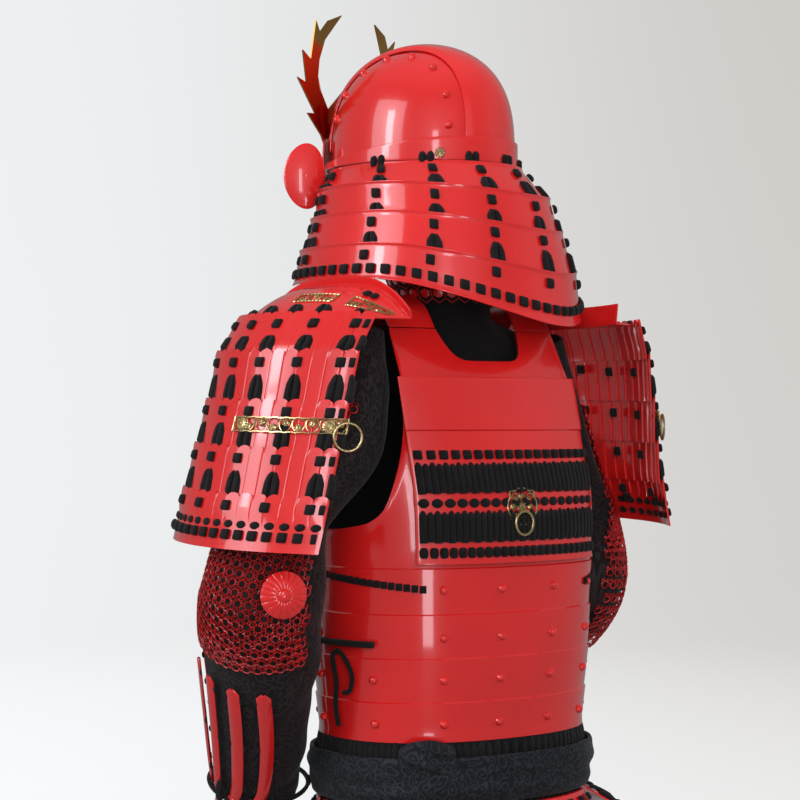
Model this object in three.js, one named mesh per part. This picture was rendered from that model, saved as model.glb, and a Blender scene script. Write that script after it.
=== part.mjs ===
// Upper-body samurai armour in its worn, hollow form: helmet, collar, cuirass,
// shoulder guards, armoured sleeves, belt and skirt plates.
// Millimetres. +Z is up, the front faces -Y, the wearer's left is +X.
// The origin lies on the middle of the shoulder line, under the shoulder straps.
import * as THREE from 'three';

// ---------------------------------------------------------------- dimensions
const GAP = 0.4; // clearance between pieces that meet
const PLATE = 2; // thickness of lacquered plate
const CLOTH = 2.5; // thickness of padded cloth
const THIN = 1.2; // thickness of gilt metal fittings
const LAP = 8; // hidden overlap of one lame behind the next
const STEP = 4.5; // distance a lower lame stands outside the upper one
const CORD_RADIUS = 2.6;

// Cuirass sections: height, half width, depth behind and in front of the axis.
const TORSO_POWER = 2.3;
const TORSO = [
  { z: -34, half: 170, back: 45.5, front: 58 },
  { z: -72, half: 170, back: 71, front: 84 },
  { z: -88, half: 170, back: 79, front: 93 },
  { z: -145, half: 170, back: 98, front: 112 },
  { z: -220, half: 170, back: 121, front: 124 },
  { z: -290, half: 170, back: 125, front: 126 },
  { z: -390, half: 166, back: 122, front: 123 },
  { z: -560, half: 152, back: 110, front: 111 },
];
const CUIRASS_BOTTOM = -488;
const CUIRASS_SPAN = { back: 96.6, front: 82.6 }; // degrees each half covers from its centre
// Armhole edge: height and the angle from the centre line where the plate ends.
const ARMHOLE = [
  { z: -34, angle: 39.5 },
  { z: -88, angle: 39.5 },
  { z: -148, angle: 42 },
  { z: -205, angle: 50 },
  { z: -240, angle: 58 },
  { z: -252, angle: 68 },
  { z: -258, angle: 90 },
];
const STRAP = { inner: 57, outer: 114, bottom: -36, slope: 8 };
const NECKLINE = { back: -72, front: -84 };
const PANEL = { half: 119, top: -90, bottom: -294, lift: 6 };
const PLAQUE = { half: 19, top: -214, bottom: -252 };
const PLAQUE_RING = { radius: 12, wire: 1.6, z: -249 };

// Helmet: its own axis, turned to the wearer's left.
const HEAD = { x: 5, y: -55, turn: 22 };
const BOWL = { length: 109, width: 94, base: 158, height: 137, lean: 5 };
// Half width of the centre plate over the bowl's, and how far the side plates run under it.
const RIDGE = { base: 0.54, crown: 0.4, lap: 0.04 };
const BAND = { bottom: 154, front: 160, back: 182, lift: 8 };
const BROW = { spread: 34, top: 197, bottom: 163, reach: 38, drop: 11, lift: 11 };
// Neck guard edges: height behind, rise towards the front, axis shift, half length and width.
const NECK_EDGES = [
  { z: 152, rise: 0, shift: 6, length: 115, width: 101 },
  { z: 116, rise: 12, shift: 16, length: 134, width: 124 },
  { z: 76, rise: 19, shift: 21, length: 144, width: 135 },
  { z: 27, rise: 31, shift: 23, length: 158.5, width: 149 },
  { z: -33, rise: 51, shift: 21, length: 170, width: 160 },
];
const NECK_END = 142; // degrees from the back where the lames stop
const EAR = {
  height: 38, width: 24, forward: 111, side: 79, z: 147, taper: 0.12, bow: 5, turned: [0.74, 0.68],
};
// Antler outline: distance from the helmet's centre plane and height.
const ANTLER = [
  [16, 186], [29, 201], [68, 223], [53, 224], [100, 260], [81, 256], [99, 291],
  [81, 283], [84, 327], [72, 315], [60, 330], [35, 340], [60, 308], [64, 285],
  [61, 266], [51, 251], [29, 231], [3, 258], [9, 235], [5, 215],
];
const ANTLER_BASE = 172;
const CREST_SEAT = 15.5; // distance of the crest in front of the bowl
const ANTLER_LEAN = 0.22;

// Collar rings: height, centre, half width and half depth.
const COLLAR = [
  { z: 46, y: -20, half: 74, depth: 72 },
  { z: -8, y: -12, half: 54, depth: 56 },
];
const COLLAR_OPENING = 158; // degrees from the back where the collar stops

// Shoulder guard edges: height, and the centre and radius of the curve seen from above.
// The left guard faces a little backwards and the right one forwards.
const LEFT_GUARD = {
  hand: 1,
  facing: 77,
  crown: 45,
  collar: 9,
  edges: [
    { z: -25, centre: 112, radius: 142 },
    { z: -65, centre: 135, radius: 147 },
    { z: -118, centre: 148, radius: 147 },
    { z: -168, centre: 160, radius: 149 },
    { z: -218, centre: 172, radius: 151 },
    { z: -276, centre: 187, radius: 155 },
  ],
};
const RIGHT_GUARD = {
  hand: -1,
  facing: 103,
  crown: 13.5,
  collar: 22,
  edges: [
    { z: -20, centre: 93, radius: 142 },
    { z: -58, centre: 109, radius: 142 },
    { z: -108, centre: 117, radius: 142 },
    { z: -158, centre: 121, radius: 143 },
    { z: -206, centre: 127, radius: 144 },
    { z: -264, centre: 144, radius: 145 },
  ],
};
const GUARD_SPREAD = 45.5; // degrees to each side of the facing direction
const GUARD_TILT = 10; // rise of the lowest edge from its rear to its front end
const CROWN = { chord: 54, half: 107, base: -5, radius: 136 };
const BAR = { rear: -44.8, front: 0.5, drop: 28, height: 18 };
const GUARD_RING = { radius: 14.5, wire: 1.7, angle: -47.5, drop: 39 };

// Sleeves: stations down each arm with the half depth and half width of the section.
const LEFT_ARM = [
  { x: 134, y: 0, z: -42, depth: 40, half: 26 },
  { x: 146, y: 9, z: -102, depth: 50, half: 38 },
  { x: 160, y: 11, z: -162, depth: 60, half: 43 },
  { x: 230, y: 4, z: -236, depth: 62, half: 50 },
  { x: 252, y: -2, z: -335, depth: 66, half: 66 },
  { x: 240, y: -26, z: -395, depth: 66, half: 60 },
  { x: 221, y: -60, z: -465, depth: 58, half: 53 },
  { x: 203, y: -92, z: -530, depth: 46, half: 48 },
  { x: 200, y: -100, z: -556, depth: 42, half: 44 },
];
const RIGHT_ARM = [
  { x: -132, y: -12, z: -42, depth: 40, half: 26 },
  { x: -152, y: -20, z: -110, depth: 46, half: 36 },
  { x: -182, y: -28, z: -190, depth: 50, half: 37 },
  { x: -225, y: -48, z: -268, depth: 56, half: 44 },
  { x: -228, y: -52, z: -335, depth: 60, half: 54 },
  { x: -214, y: -98, z: -386, depth: 60, half: 60 },
  { x: -190, y: -152, z: -412, depth: 54, half: 54 },
  { x: -168, y: -204, z: -432, depth: 46, half: 48 },
  { x: -160, y: -226, z: -442, depth: 42, half: 44 },
];
// Places along a sleeve, as a share of its stations, and angles from the elbow side outwards.
const SLEEVE_ROWS = 12;
// The mail's front edge, and its rear edge at each of its rows.
const MAIL = {
  top: 2 / SLEEVE_ROWS, bottom: 7 / SLEEVE_ROWS, front: 195, rear: [30, 34, 8, -10, -10, -10],
};
const SPLINTS = { top: 0.63, bottom: 0.99, rear: 20, front: 165, count: 5 };
const SPLINT_FILL = 0.56; // share of the forearm's outside that the splints cover
const ELBOW = { along: 0.475, left: 17, right: 95, radius: 24, rise: 9 };
const WRIST = 0.925;
const HAND = { length: 92, spread: 62, lift: 3, flare: 6 };

// Belt and skirt.
const BELT = { top: -503, bottom: -556, lift: 4.5, thickness: 9 };
const LACING = { top: -489, bottom: -575, lift: 1 };
// Skirt plates: centre angle and flare from the vertical, both in degrees.
const TASSETS = [
  { name: 'back_left', angle: 26, flare: 20 },
  { name: 'side_left', angle: 77, flare: 13 },
  { name: 'front_left', angle: 129, flare: 15 },
  { name: 'front', angle: 180, flare: 20 },
  { name: 'front_right', angle: 231, flare: 22 },
  { name: 'side_right', angle: 283, flare: 58 },
  { name: 'back_right', angle: 334, flare: 32 },
];
const TASSET = {
  spread: 23, top: -560, lift: 8, lames: 5, exposure: 44, foot: 0.88, step: 3.5, flatness: 0.55,
};

// Cord that ties the left side of the cuirass, and its bow and hanging end.
const SIDE_TIE = { z: -381, rear: 62, front: 96, lift: 6.5 };
const TIE_TAIL = [
  { angle: 86, z: -474 }, { angle: 87, z: -450 }, { angle: 85.5, z: -424 }, { angle: 87, z: -398 },
  { angle: 83, z: -390 }, { angle: 78, z: -401 }, { angle: 75, z: -418 }, { angle: 77, z: -433 },
  { angle: 81, z: -436 },
];

// ------------------------------------------------------------------ finishes
const FINISH = {
  lacquer: { color: 0xcd1414, roughness: 0.15, metalness: 0 },
  braid: { color: 0x191919, roughness: 0.9, metalness: 0 },
  cloth: { color: 0x1e2126, roughness: 0.85, metalness: 0 },
  gilt: { color: 0xdcbe5a, roughness: 0.25, metalness: 1 },
  brass: { color: 0xb08a3c, roughness: 0.12, metalness: 1 },
  mail: { color: 0xc01a1a, roughness: 0.4, metalness: 0 },
};

// -------------------------------------------------------------- small helpers
const RAD = Math.PI / 180;
const clamp01 = (t) => Math.min(1, Math.max(0, t));
const mix = (a, b, t) => a + (b - a) * t;
const smooth = (t) => clamp01(t) ** 2 * (3 - 2 * clamp01(t));
const power = (value, exponent) => Math.sign(value) * Math.abs(value) ** exponent;
const vec = (x, y, z) => new THREE.Vector3(x, y, z);

// Value of one column of a table at a key, linear between rows.
function lookUp(table, key, at, column) {
  const falling = table[0][key] > table[table.length - 1][key];
  const order = falling ? -1 : 1;
  let row = 0;
  while (row < table.length - 2 && (at - table[row + 1][key]) * order > 0) row += 1;
  const [a, b] = [table[row], table[row + 1]];
  const t = clamp01((at - a[key]) / (b[key] - a[key]));
  return mix(a[column], b[column], t);
}

// ------------------------------------------------------------- wall geometry
// Unit normal of a surface at (u, v).
function normalAt(surface, u, v, hand) {
  const h = 1e-3;
  const du = surface(Math.min(1, u + h), v).sub(surface(Math.max(0, u - h), v));
  const dv = surface(u, Math.min(1, v + h)).sub(surface(u, Math.max(0, v - h)));
  return du.cross(dv).normalize().multiplyScalar(hand);
}

// Faces of a closed solid made of a grid of outer points and one of inner points.
function gridFaces(columns, rows, ring) {
  const wide = ring ? columns : columns + 1;
  const layer = wide * (rows + 1);
  const outer = (i, j) => j * wide + (i % wide);
  const inner = (i, j) => layer + outer(i, j);
  const faces = [];
  const quad = (a, b, c, d) => faces.push(a, b, c, a, c, d);
  for (let j = 0; j < rows; j += 1) {
    for (let i = 0; i < columns; i += 1) {
      quad(outer(i, j), outer(i + 1, j), outer(i + 1, j + 1), outer(i, j + 1));
      quad(inner(i, j), inner(i, j + 1), inner(i + 1, j + 1), inner(i + 1, j));
    }
  }
  for (let i = 0; i < columns; i += 1) {
    quad(outer(i, 0), inner(i, 0), inner(i + 1, 0), outer(i + 1, 0));
    quad(outer(i, rows), outer(i + 1, rows), inner(i + 1, rows), inner(i, rows));
  }
  for (let j = 0; j < rows && !ring; j += 1) {
    quad(outer(0, j), outer(0, j + 1), inner(0, j + 1), inner(0, j));
    quad(outer(columns, j), inner(columns, j), inner(columns, j + 1), outer(columns, j + 1));
  }
  return faces;
}

// Flips the faces of a closed solid when they look inwards.
function facingOut(geometry) {
  const at = geometry.getAttribute('position');
  const index = geometry.getIndex().array;
  const corner = (k) => vec(at.getX(index[k]), at.getY(index[k]), at.getZ(index[k]));
  let volume = 0;
  for (let k = 0; k < index.length; k += 3) {
    volume += corner(k).dot(corner(k + 1).cross(corner(k + 2)));
  }
  if (volume < 0) {
    for (let k = 0; k < index.length; k += 3) {
      [index[k + 1], index[k + 2]] = [index[k + 2], index[k + 1]];
    }
  }
  geometry.computeVertexNormals();
  return geometry;
}

function solid(points, faces) {
  const geometry = new THREE.BufferGeometry();
  geometry.setAttribute('position', new THREE.Float32BufferAttribute(points.flatMap((p) => p.toArray()), 3));
  geometry.setIndex(faces);
  return facingOut(geometry);
}

// A wall that follows surface(u, v). The surface runs from the back towards the
// wearer's left with u and downwards with v; hand is -1 where it runs the other way.
function wall(surface, { columns, rows, thickness = PLATE, lift = 0, ring = false, hand = 1 }) {
  const outer = [];
  const inner = [];
  const wide = ring ? columns : columns + 1;
  for (let j = 0; j <= rows; j += 1) {
    for (let i = 0; i < wide; i += 1) {
      const [u, v] = [i / columns, j / rows];
      const point = surface(u, v);
      const normal = normalAt(surface, u, v, hand);
      outer.push(point.clone().addScaledVector(normal, lift));
      inner.push(point.clone().addScaledVector(normal, lift - thickness));
    }
  }
  return solid([...outer, ...inner], gridFaces(columns, rows, ring));
}

// The same solid on the wearer's other side.
function mirrored(geometry) {
  return facingOut(geometry.clone().applyMatrix4(new THREE.Matrix4().makeScale(-1, 1, 1)));
}

function cord(points, radius = CORD_RADIUS) {
  const section = new THREE.Shape();
  section.absarc(0, 0, radius, 0, 2 * Math.PI);
  const path = new THREE.CatmullRomCurve3(points);
  return new THREE.ExtrudeGeometry(section, {
    extrudePath: path,
    steps: points.length * 2,
    curveSegments: 4,
    bevelEnabled: false,
  });
}

// --------------------------------------------------------------- the assembly
const armour = new THREE.Group();

function place(name, finish, geometry) {
  const mesh = new THREE.Mesh(geometry, new THREE.MeshStandardMaterial(FINISH[finish]));
  mesh.name = name;
  armour.add(mesh);
}

// -------------------------------------------------------------------- helmet
const turn = HEAD.turn * RAD;

// Point in the helmet's own directions: behind its axis, to its left, and height.
function headPoint(behind, left, z) {
  return vec(
    HEAD.x - behind * Math.sin(turn) + left * Math.cos(turn),
    HEAD.y + behind * Math.cos(turn) + left * Math.sin(turn),
    z,
  );
}

// Point of the bowl at a share of its height and an angle from the back.
function bowlPoint(angle, share, grow = 0) {
  const radius = Math.sqrt(Math.max(0, 1 - share ** 3));
  const behind = (BOWL.length + grow) * radius * Math.cos(angle) + BOWL.lean * share * share;
  const left = (BOWL.width + grow) * radius * Math.sin(angle);
  return headPoint(behind, left, BOWL.base + (BOWL.height + grow) * share);
}

function bowlSide(u, v) {
  const inner = RIDGE.crown - RIDGE.lap;
  const first = Math.asin(inner) + 0.02;
  const angle = mix(first, Math.PI - first, u);
  const edge = inner / Math.sin(angle);
  const top = Math.cbrt(Math.max(0, 1 - edge * edge));
  return bowlPoint(angle, mix(top, 0, v));
}

function bowlRidge(u, v) {
  const along = mix(0.02, 0.98, v) * Math.PI;
  const half = mix(RIDGE.crown, RIDGE.base, Math.cos(along) ** 2);
  const side = mix(half, -half, u);
  const reach = Math.sqrt(1 - side * side);
  const share = Math.cbrt(Math.max(0, (reach * Math.sin(along)) ** 2));
  const grow = 1 + (PLATE + GAP) / BOWL.width;
  const behind = BOWL.length * grow * reach * Math.cos(along) + BOWL.lean * share * share;
  return headPoint(behind, BOWL.width * grow * side, BOWL.base + (BOWL.height * grow) * share);
}

function bandPoint(u, v) {
  const angle = u * 2 * Math.PI;
  const top = mix(BAND.front, BAND.back, smooth((Math.cos(angle) + 1) / 2));
  const z = mix(top, BAND.bottom, v);
  const share = Math.max(0, (z - BOWL.base) / BOWL.height);
  const point = bowlPoint(angle, share, BAND.lift);
  point.z = z;
  return point;
}

function browPoint(u, v) {
  const angle = (180 + mix(-BROW.spread, BROW.spread, u)) * RAD;
  const tuck = Math.min(1, v / 0.5);
  const flare = clamp01((v - 0.5) / 0.5);
  const peak = 1 - (2 * u - 1) ** 4;
  const z = mix(BROW.top - 10 * (1 - peak), BROW.bottom, tuck) - BROW.drop * flare;
  const share = Math.max(0, (z - BOWL.base) / BOWL.height);
  const out = BROW.lift + BROW.reach * flare * mix(0.25, 1, peak);
  const point = bowlPoint(angle, share, out);
  point.z = z;
  return point;
}

function neckEdge(index, angle, grow = 0) {
  const edge = NECK_EDGES[index];
  const z = edge.z + edge.rise * smooth(Math.abs(angle) / (90 * RAD));
  return headPoint(
    edge.shift + (edge.length + grow) * Math.cos(angle),
    (edge.width + grow) * Math.sin(angle),
    z,
  );
}

// The top of a lame stands out over the foot of the one above, which tucks in behind it.
function neckLame(index) {
  const fold = 0.75;
  return (u, v) => {
    const angle = mix(-NECK_END, NECK_END, u) * RAD;
    const from = neckEdge(index, angle, index === 0 ? 0 : STEP);
    const to = neckEdge(index + 1, angle);
    if (index === NECK_EDGES.length - 2) return from.lerp(to, v);
    if (v <= fold) return from.lerp(to, v / fold);
    const next = neckEdge(index + 2, angle);
    return to.lerp(next, ((v - fold) / (1 - fold)) * (LAP / to.distanceTo(next)));
  };
}

// Egg-shaped, slightly domed ear on the wearer's left.
function earPoint(u, v) {
  const [a, b] = [2 * u - 1, 1 - 2 * v];
  const [x, y] = [a * Math.sqrt(1 - b * b / 2), b * Math.sqrt(1 - a * a / 2)];
  const across = EAR.width * x;
  const up = EAR.height * y * (1 - EAR.taper * x);
  const bow = EAR.bow * (1 - x * x - y * y);
  return headPoint(
    -EAR.forward - across * EAR.turned[0] + bow * EAR.turned[1],
    EAR.side + across * EAR.turned[1] + bow * EAR.turned[0],
    EAR.z + up,
  );
}

// The same surface on the other side of the helmet's middle.
function onOtherSide(surface) {
  return (u, v) => {
    const local = surface(u, v).sub(vec(HEAD.x, HEAD.y, 0));
    const behind = -local.x * Math.sin(turn) + local.y * Math.cos(turn);
    const left = local.x * Math.cos(turn) + local.y * Math.sin(turn);
    return headPoint(behind, -left, local.z);
  };
}

function antlers() {
  const left = ANTLER.map(([side, z]) => new THREE.Vector2(side, z));
  const right = [...ANTLER].reverse().map(([side, z]) => new THREE.Vector2(-side, z));
  const stem = [new THREE.Vector2(-14, ANTLER_BASE), new THREE.Vector2(14, ANTLER_BASE)];
  const outline = new THREE.Shape([...stem, ...left, ...right]);
  const geometry = new THREE.ExtrudeGeometry(outline, { depth: PLATE, bevelEnabled: false, steps: 1 });
  const at = geometry.getAttribute('position');
  for (let k = 0; k < at.count; k += 1) {
    const [side, z, deep] = [at.getX(k), at.getY(k), at.getZ(k)];
    const rise = Math.max(0, z - ANTLER_BASE);
    const behind = -(BOWL.length + CREST_SEAT + deep) + ANTLER_LEAN * rise * smooth(rise / 60);
    const point = headPoint(behind, side, z);
    at.setXYZ(k, point.x, point.y, point.z);
  }
  return geometry;
}

function addHelmet() {
  const bowlGrid = { columns: 12, rows: 6 };
  const earGrid = { columns: 10, rows: 10 };
  place('bowl_left', 'lacquer', wall(bowlSide, bowlGrid));
  place('bowl_right', 'lacquer', wall(onOtherSide(bowlSide), { ...bowlGrid, hand: -1 }));
  place('bowl_centre', 'lacquer', wall(bowlRidge, { columns: 4, rows: 18, hand: -1 }));
  place('helmet_band', 'lacquer', wall(bandPoint, { columns: 32, rows: 2, ring: true }));
  place('brow_plate', 'lacquer', wall(browPoint, { columns: 12, rows: 6 }));
  for (let index = 0; index < NECK_EDGES.length - 1; index += 1) {
    const rows = index === NECK_EDGES.length - 2 ? 1 : 4;
    place(`neck_lame_${index + 1}`, 'lacquer', wall(neckLame(index), { columns: 22, rows }));
  }
  place('ear_left', 'lacquer', wall(earPoint, { ...earGrid, hand: 1 }));
  place('ear_right', 'lacquer', wall(onOtherSide(earPoint), { ...earGrid, hand: -1 }));
  place('antler_crest', 'brass', antlers());
}

// -------------------------------------------------------------------- cuirass
function torsoPoint(degrees, z, grow = 0) {
  const angle = degrees * RAD;
  const half = lookUp(TORSO, 'z', z, 'half') + grow;
  const depth = lookUp(TORSO, 'z', z, Math.cos(angle) >= 0 ? 'back' : 'front') + grow;
  return vec(
    half * power(Math.sin(angle), 2 / TORSO_POWER),
    depth * power(Math.cos(angle), 2 / TORSO_POWER),
    z,
  );
}

// Angle on the cuirass of a point that far from the centre plane.
function angleAt(x, z) {
  const share = clamp01(Math.abs(x) / lookUp(TORSO, 'z', z, 'half'));
  return Math.asin(share ** (TORSO_POWER / 2)) / RAD;
}

// Top edge of a half of the cuirass: strap end, neckline curve and armhole.
function topEdge(side, neckline) {
  const inner = angleAt(STRAP.inner, STRAP.bottom);
  const outer = angleAt(STRAP.outer, STRAP.bottom);
  if (side <= inner) return mix(neckline, STRAP.bottom, (side / inner) ** 6);
  if (side <= outer) return STRAP.bottom;
  return lookUp(ARMHOLE, 'angle', Math.max(side, ARMHOLE[1].angle + 0.01), 'z');
}

function cuirassHalf(front) {
  const span = front ? CUIRASS_SPAN.front : CUIRASS_SPAN.back;
  const sides = [0, 9.5, 16.5, 20.5, 24, 31.5, 38.4, 40.6, 42.5, 45.5, 50, 58, 68, 78, span];
  const angles = [...sides.slice(1).reverse().map((side) => -side), ...sides];
  return (u, v) => {
    const spot = u * (angles.length - 1);
    const cell = Math.min(angles.length - 2, Math.floor(spot));
    const angle = mix(angles[cell], angles[cell + 1], spot - cell);
    const top = topEdge(Math.abs(angle), front ? NECKLINE.front : NECKLINE.back);
    return torsoPoint(front ? 180 + angle : angle, mix(top, CUIRASS_BOTTOM, v));
  };
}

function strapPoint(u, v) {
  const path = [
    { v: 0, y: 45, z: STRAP.bottom + GAP },
    { v: 0.25, y: 27, z: -12 },
    { v: 0.5, y: 0, z: PLATE + 1 },
    { v: 0.75, y: -30, z: -10 },
    { v: 1, y: -59, z: STRAP.bottom + GAP },
  ];
  const x = mix(STRAP.inner, STRAP.outer, u);
  const factor = (1 - (x / TORSO[0].half) ** TORSO_POWER) ** (1 / TORSO_POWER);
  const z = lookUp(path, 'v', v, 'z') - STRAP.slope * u * Math.sin(Math.PI * v);
  return vec(x, lookUp(path, 'v', v, 'y') * factor, z);
}

function panelPoint(u, v) {
  const z = mix(PANEL.top, PANEL.bottom, v);
  const x = mix(-PANEL.half, PANEL.half, u);
  return torsoPoint(Math.sign(x) * angleAt(x, z), z);
}

function plaquePoint(u, v) {
  const z = mix(PLAQUE.top, PLAQUE.bottom, v);
  const x = mix(-PLAQUE.half, PLAQUE.half, u);
  return torsoPoint(Math.sign(x) * angleAt(x, z), z);
}

function ringGeometry(radius, wire) {
  return new THREE.TorusGeometry(radius, wire, 6, 14);
}

function addCuirass() {
  place('cuirass_back', 'lacquer', wall(cuirassHalf(false), { columns: 28, rows: 6 }));
  place('cuirass_front', 'lacquer', wall(cuirassHalf(true), { columns: 28, rows: 6 }));
  place('back_panel', 'lacquer', wall(panelPoint, { columns: 14, rows: 4, lift: PANEL.lift }));
  const strap = wall(strapPoint, { columns: 3, rows: 12, hand: 1 });
  place('strap_left', 'lacquer', strap);
  place('strap_right', 'lacquer', mirrored(strap));
  const plaqueLift = PANEL.lift + GAP + THIN;
  place('back_plaque', 'gilt', wall(plaquePoint, { columns: 4, rows: 3, thickness: THIN, lift: plaqueLift }));
  const ringAt = torsoPoint(0, PLAQUE_RING.z);
  const ring = ringGeometry(PLAQUE_RING.radius, PLAQUE_RING.wire);
  ring.rotateX(Math.PI / 2);
  ring.translate(0, ringAt.y + plaqueLift + PLAQUE_RING.wire + GAP, ringAt.z);
  place('back_ring', 'gilt', ring);
}

function addSideTie() {
  const points = [];
  for (let step = 0; step <= 6; step += 1) {
    const angle = mix(SIDE_TIE.rear, SIDE_TIE.front, step / 6);
    points.push(torsoPoint(angle, SIDE_TIE.z, SIDE_TIE.lift));
  }
  place('side_tie', 'braid', cord(points, CORD_RADIUS + 1));
  const tail = TIE_TAIL.map(({ angle, z }) => torsoPoint(angle, z, SIDE_TIE.lift - 1));
  place('side_tie_bow', 'braid', cord(tail));
}

// ------------------------------------------------------------ collar and yoke
function collarRing(angle, share, grow = 0) {
  const [top, base] = COLLAR;
  return vec(
    (mix(top.half, base.half, share) + grow) * Math.sin(angle),
    mix(top.y, base.y, share) + (mix(top.depth, base.depth, share) + grow) * Math.cos(angle),
    mix(top.z, base.z, share),
  );
}

const collarPoint = (u, v) => collarRing(mix(-COLLAR_OPENING, COLLAR_OPENING, u) * RAD, v);

// The yoke spreads from the collar's foot under the straps and inside the neckline.
function yokePoint(u, v) {
  const angle = u * 2 * Math.PI;
  const turned = 0.25;
  const from = collarRing(angle, 1, -CLOTH - 1.5).add(vec(0, 0, 2));
  const below = collarRing(angle, 1, -CLOTH - 1).add(vec(0, 0, -CLOTH - 8));
  const fall = Math.cos(angle) ** 2;
  const to = vec(98 * Math.sin(angle), COLLAR[1].y + 74 * Math.cos(angle), -34 - 78 * fall);
  return v < turned ? from.lerp(below, v / turned) : below.lerp(to, (v - turned) / (1 - turned));
}

function addCollar() {
  place('collar', 'cloth', wall(collarPoint, { columns: 22, rows: 2, thickness: CLOTH }));
  place('yoke_cloth', 'cloth', wall(yokePoint, { columns: 24, rows: 4, thickness: CLOTH, ring: true }));
}

// ------------------------------------------------------------ shoulder guards
// Point of a guard at an angle from its facing direction, measured towards its front.
function guardPoint(guard, degrees, z, grow = 0) {
  const centre = lookUp(guard.edges, 'z', z, 'centre');
  const radius = lookUp(guard.edges, 'z', z, 'radius') + grow;
  const angle = (guard.facing + degrees) * RAD;
  const top = guard.edges[0].z;
  const low = guard.edges[guard.edges.length - 1].z;
  const tilt = GUARD_TILT * ((z - top) / (low - top)) * (degrees / GUARD_SPREAD + 1) * 0.5;
  return vec(guard.hand * (centre + radius * Math.sin(angle)), radius * Math.cos(angle), z + tilt);
}

function guardLame(guard, index) {
  const from = guard.edges[index];
  const to = guard.edges[index + 1];
  const last = index === guard.edges.length - 2;
  return (u, v) => {
    const degrees = mix(-GUARD_SPREAD, GUARD_SPREAD, u);
    return guardPoint(guard, degrees, mix(from.z, last ? to.z : to.z - LAP, v), STEP * (1 - v));
  };
}

// Half-moon plate over the shoulder, with a collar turned up along its chord.
function crownPoint(guard) {
  const { z: height, centre } = guard.edges[0];
  const facing = guard.facing * RAD;
  const turned = 0.2;
  return (u, v) => {
    const side = mix(-1, 1, u);
    const bend = Math.abs(side) ** 3;
    const edge = CROWN.chord + (CROWN.radius - CROWN.chord) * Math.sqrt(Math.max(0, 1 - bend));
    const slope = clamp01((v - turned) / (1 - turned));
    const top = guard.crown - (guard.crown - CROWN.base - guard.collar) * bend;
    const foot = top - guard.collar;
    const out = mix(CROWN.chord, edge + 2, slope) + 3 * (1 - clamp01(v / turned));
    const rise = v < turned ? mix(top, foot, v / turned) : mix(foot, CROWN.base, slope * slope);
    const along = CROWN.half * side;
    return vec(
      guard.hand * (centre + out * Math.sin(facing) + along * Math.cos(facing)),
      out * Math.cos(facing) - along * Math.sin(facing),
      height + rise,
    );
  };
}

function addShoulderGuard(side, guard) {
  const { hand } = guard;
  place(`${side}_shoulder_crown`, 'lacquer', wall(crownPoint(guard), { columns: 14, rows: 5, hand }));
  for (let index = 0; index < guard.edges.length - 1; index += 1) {
    const lame = wall(guardLame(guard, index), { columns: 15, rows: index === 0 ? 2 : 1, hand });
    place(`${side}_shoulder_lame_${index + 1}`, 'lacquer', lame);
  }
  const third = guard.edges[2].z;
  const bar = (u, v) => {
    const z = third - BAR.drop + mix(0.5, -0.5, v) * BAR.height;
    return guardPoint(guard, mix(BAR.rear, BAR.front, u), z, STEP + GAP + THIN);
  };
  place(`${side}_shoulder_bar`, 'gilt', wall(bar, { columns: 8, rows: 1, thickness: THIN, hand }));
  const ring = ringGeometry(GUARD_RING.radius, GUARD_RING.wire);
  const lift = STEP + 2 * (GAP + THIN) + GUARD_RING.wire;
  const hang = guardPoint(guard, GUARD_RING.angle, third - GUARD_RING.drop, lift);
  ring.rotateX(Math.PI / 2);
  ring.rotateZ(-guard.hand * (guard.facing + GUARD_RING.angle) * RAD);
  ring.translate(hang.x, hang.y, hang.z);
  place(`${side}_shoulder_ring`, 'gilt', ring);
}

// -------------------------------------------------------------------- sleeves
function makeArm(stations, hand) {
  const path = new THREE.CatmullRomCurve3(stations.map((row) => vec(row.x, row.y, row.z)));
  const rows = stations.map((row, k) => ({ ...row, along: k / (stations.length - 1) }));
  // Point at a share of the stations and an angle from the elbow side outwards.
  const point = (along, degrees, grow = 0) => {
    const t = clamp01(along);
    const down = path.getTangent(t);
    const rear = vec(0, 1, 0).addScaledVector(down, -down.y).normalize();
    const outward = down.clone().cross(rear).multiplyScalar(hand);
    const depth = lookUp(rows, 'along', t, 'depth') + grow;
    const half = lookUp(rows, 'along', t, 'half') + grow;
    const beyond = Math.max(0, along - 1) * path.getLength();
    return path.getPoint(t)
      .addScaledVector(rear, depth * Math.cos(degrees * RAD))
      .addScaledVector(outward, half * Math.sin(degrees * RAD))
      .addScaledVector(down, beyond);
  };
  return { point, length: path.getLength() };
}

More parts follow.
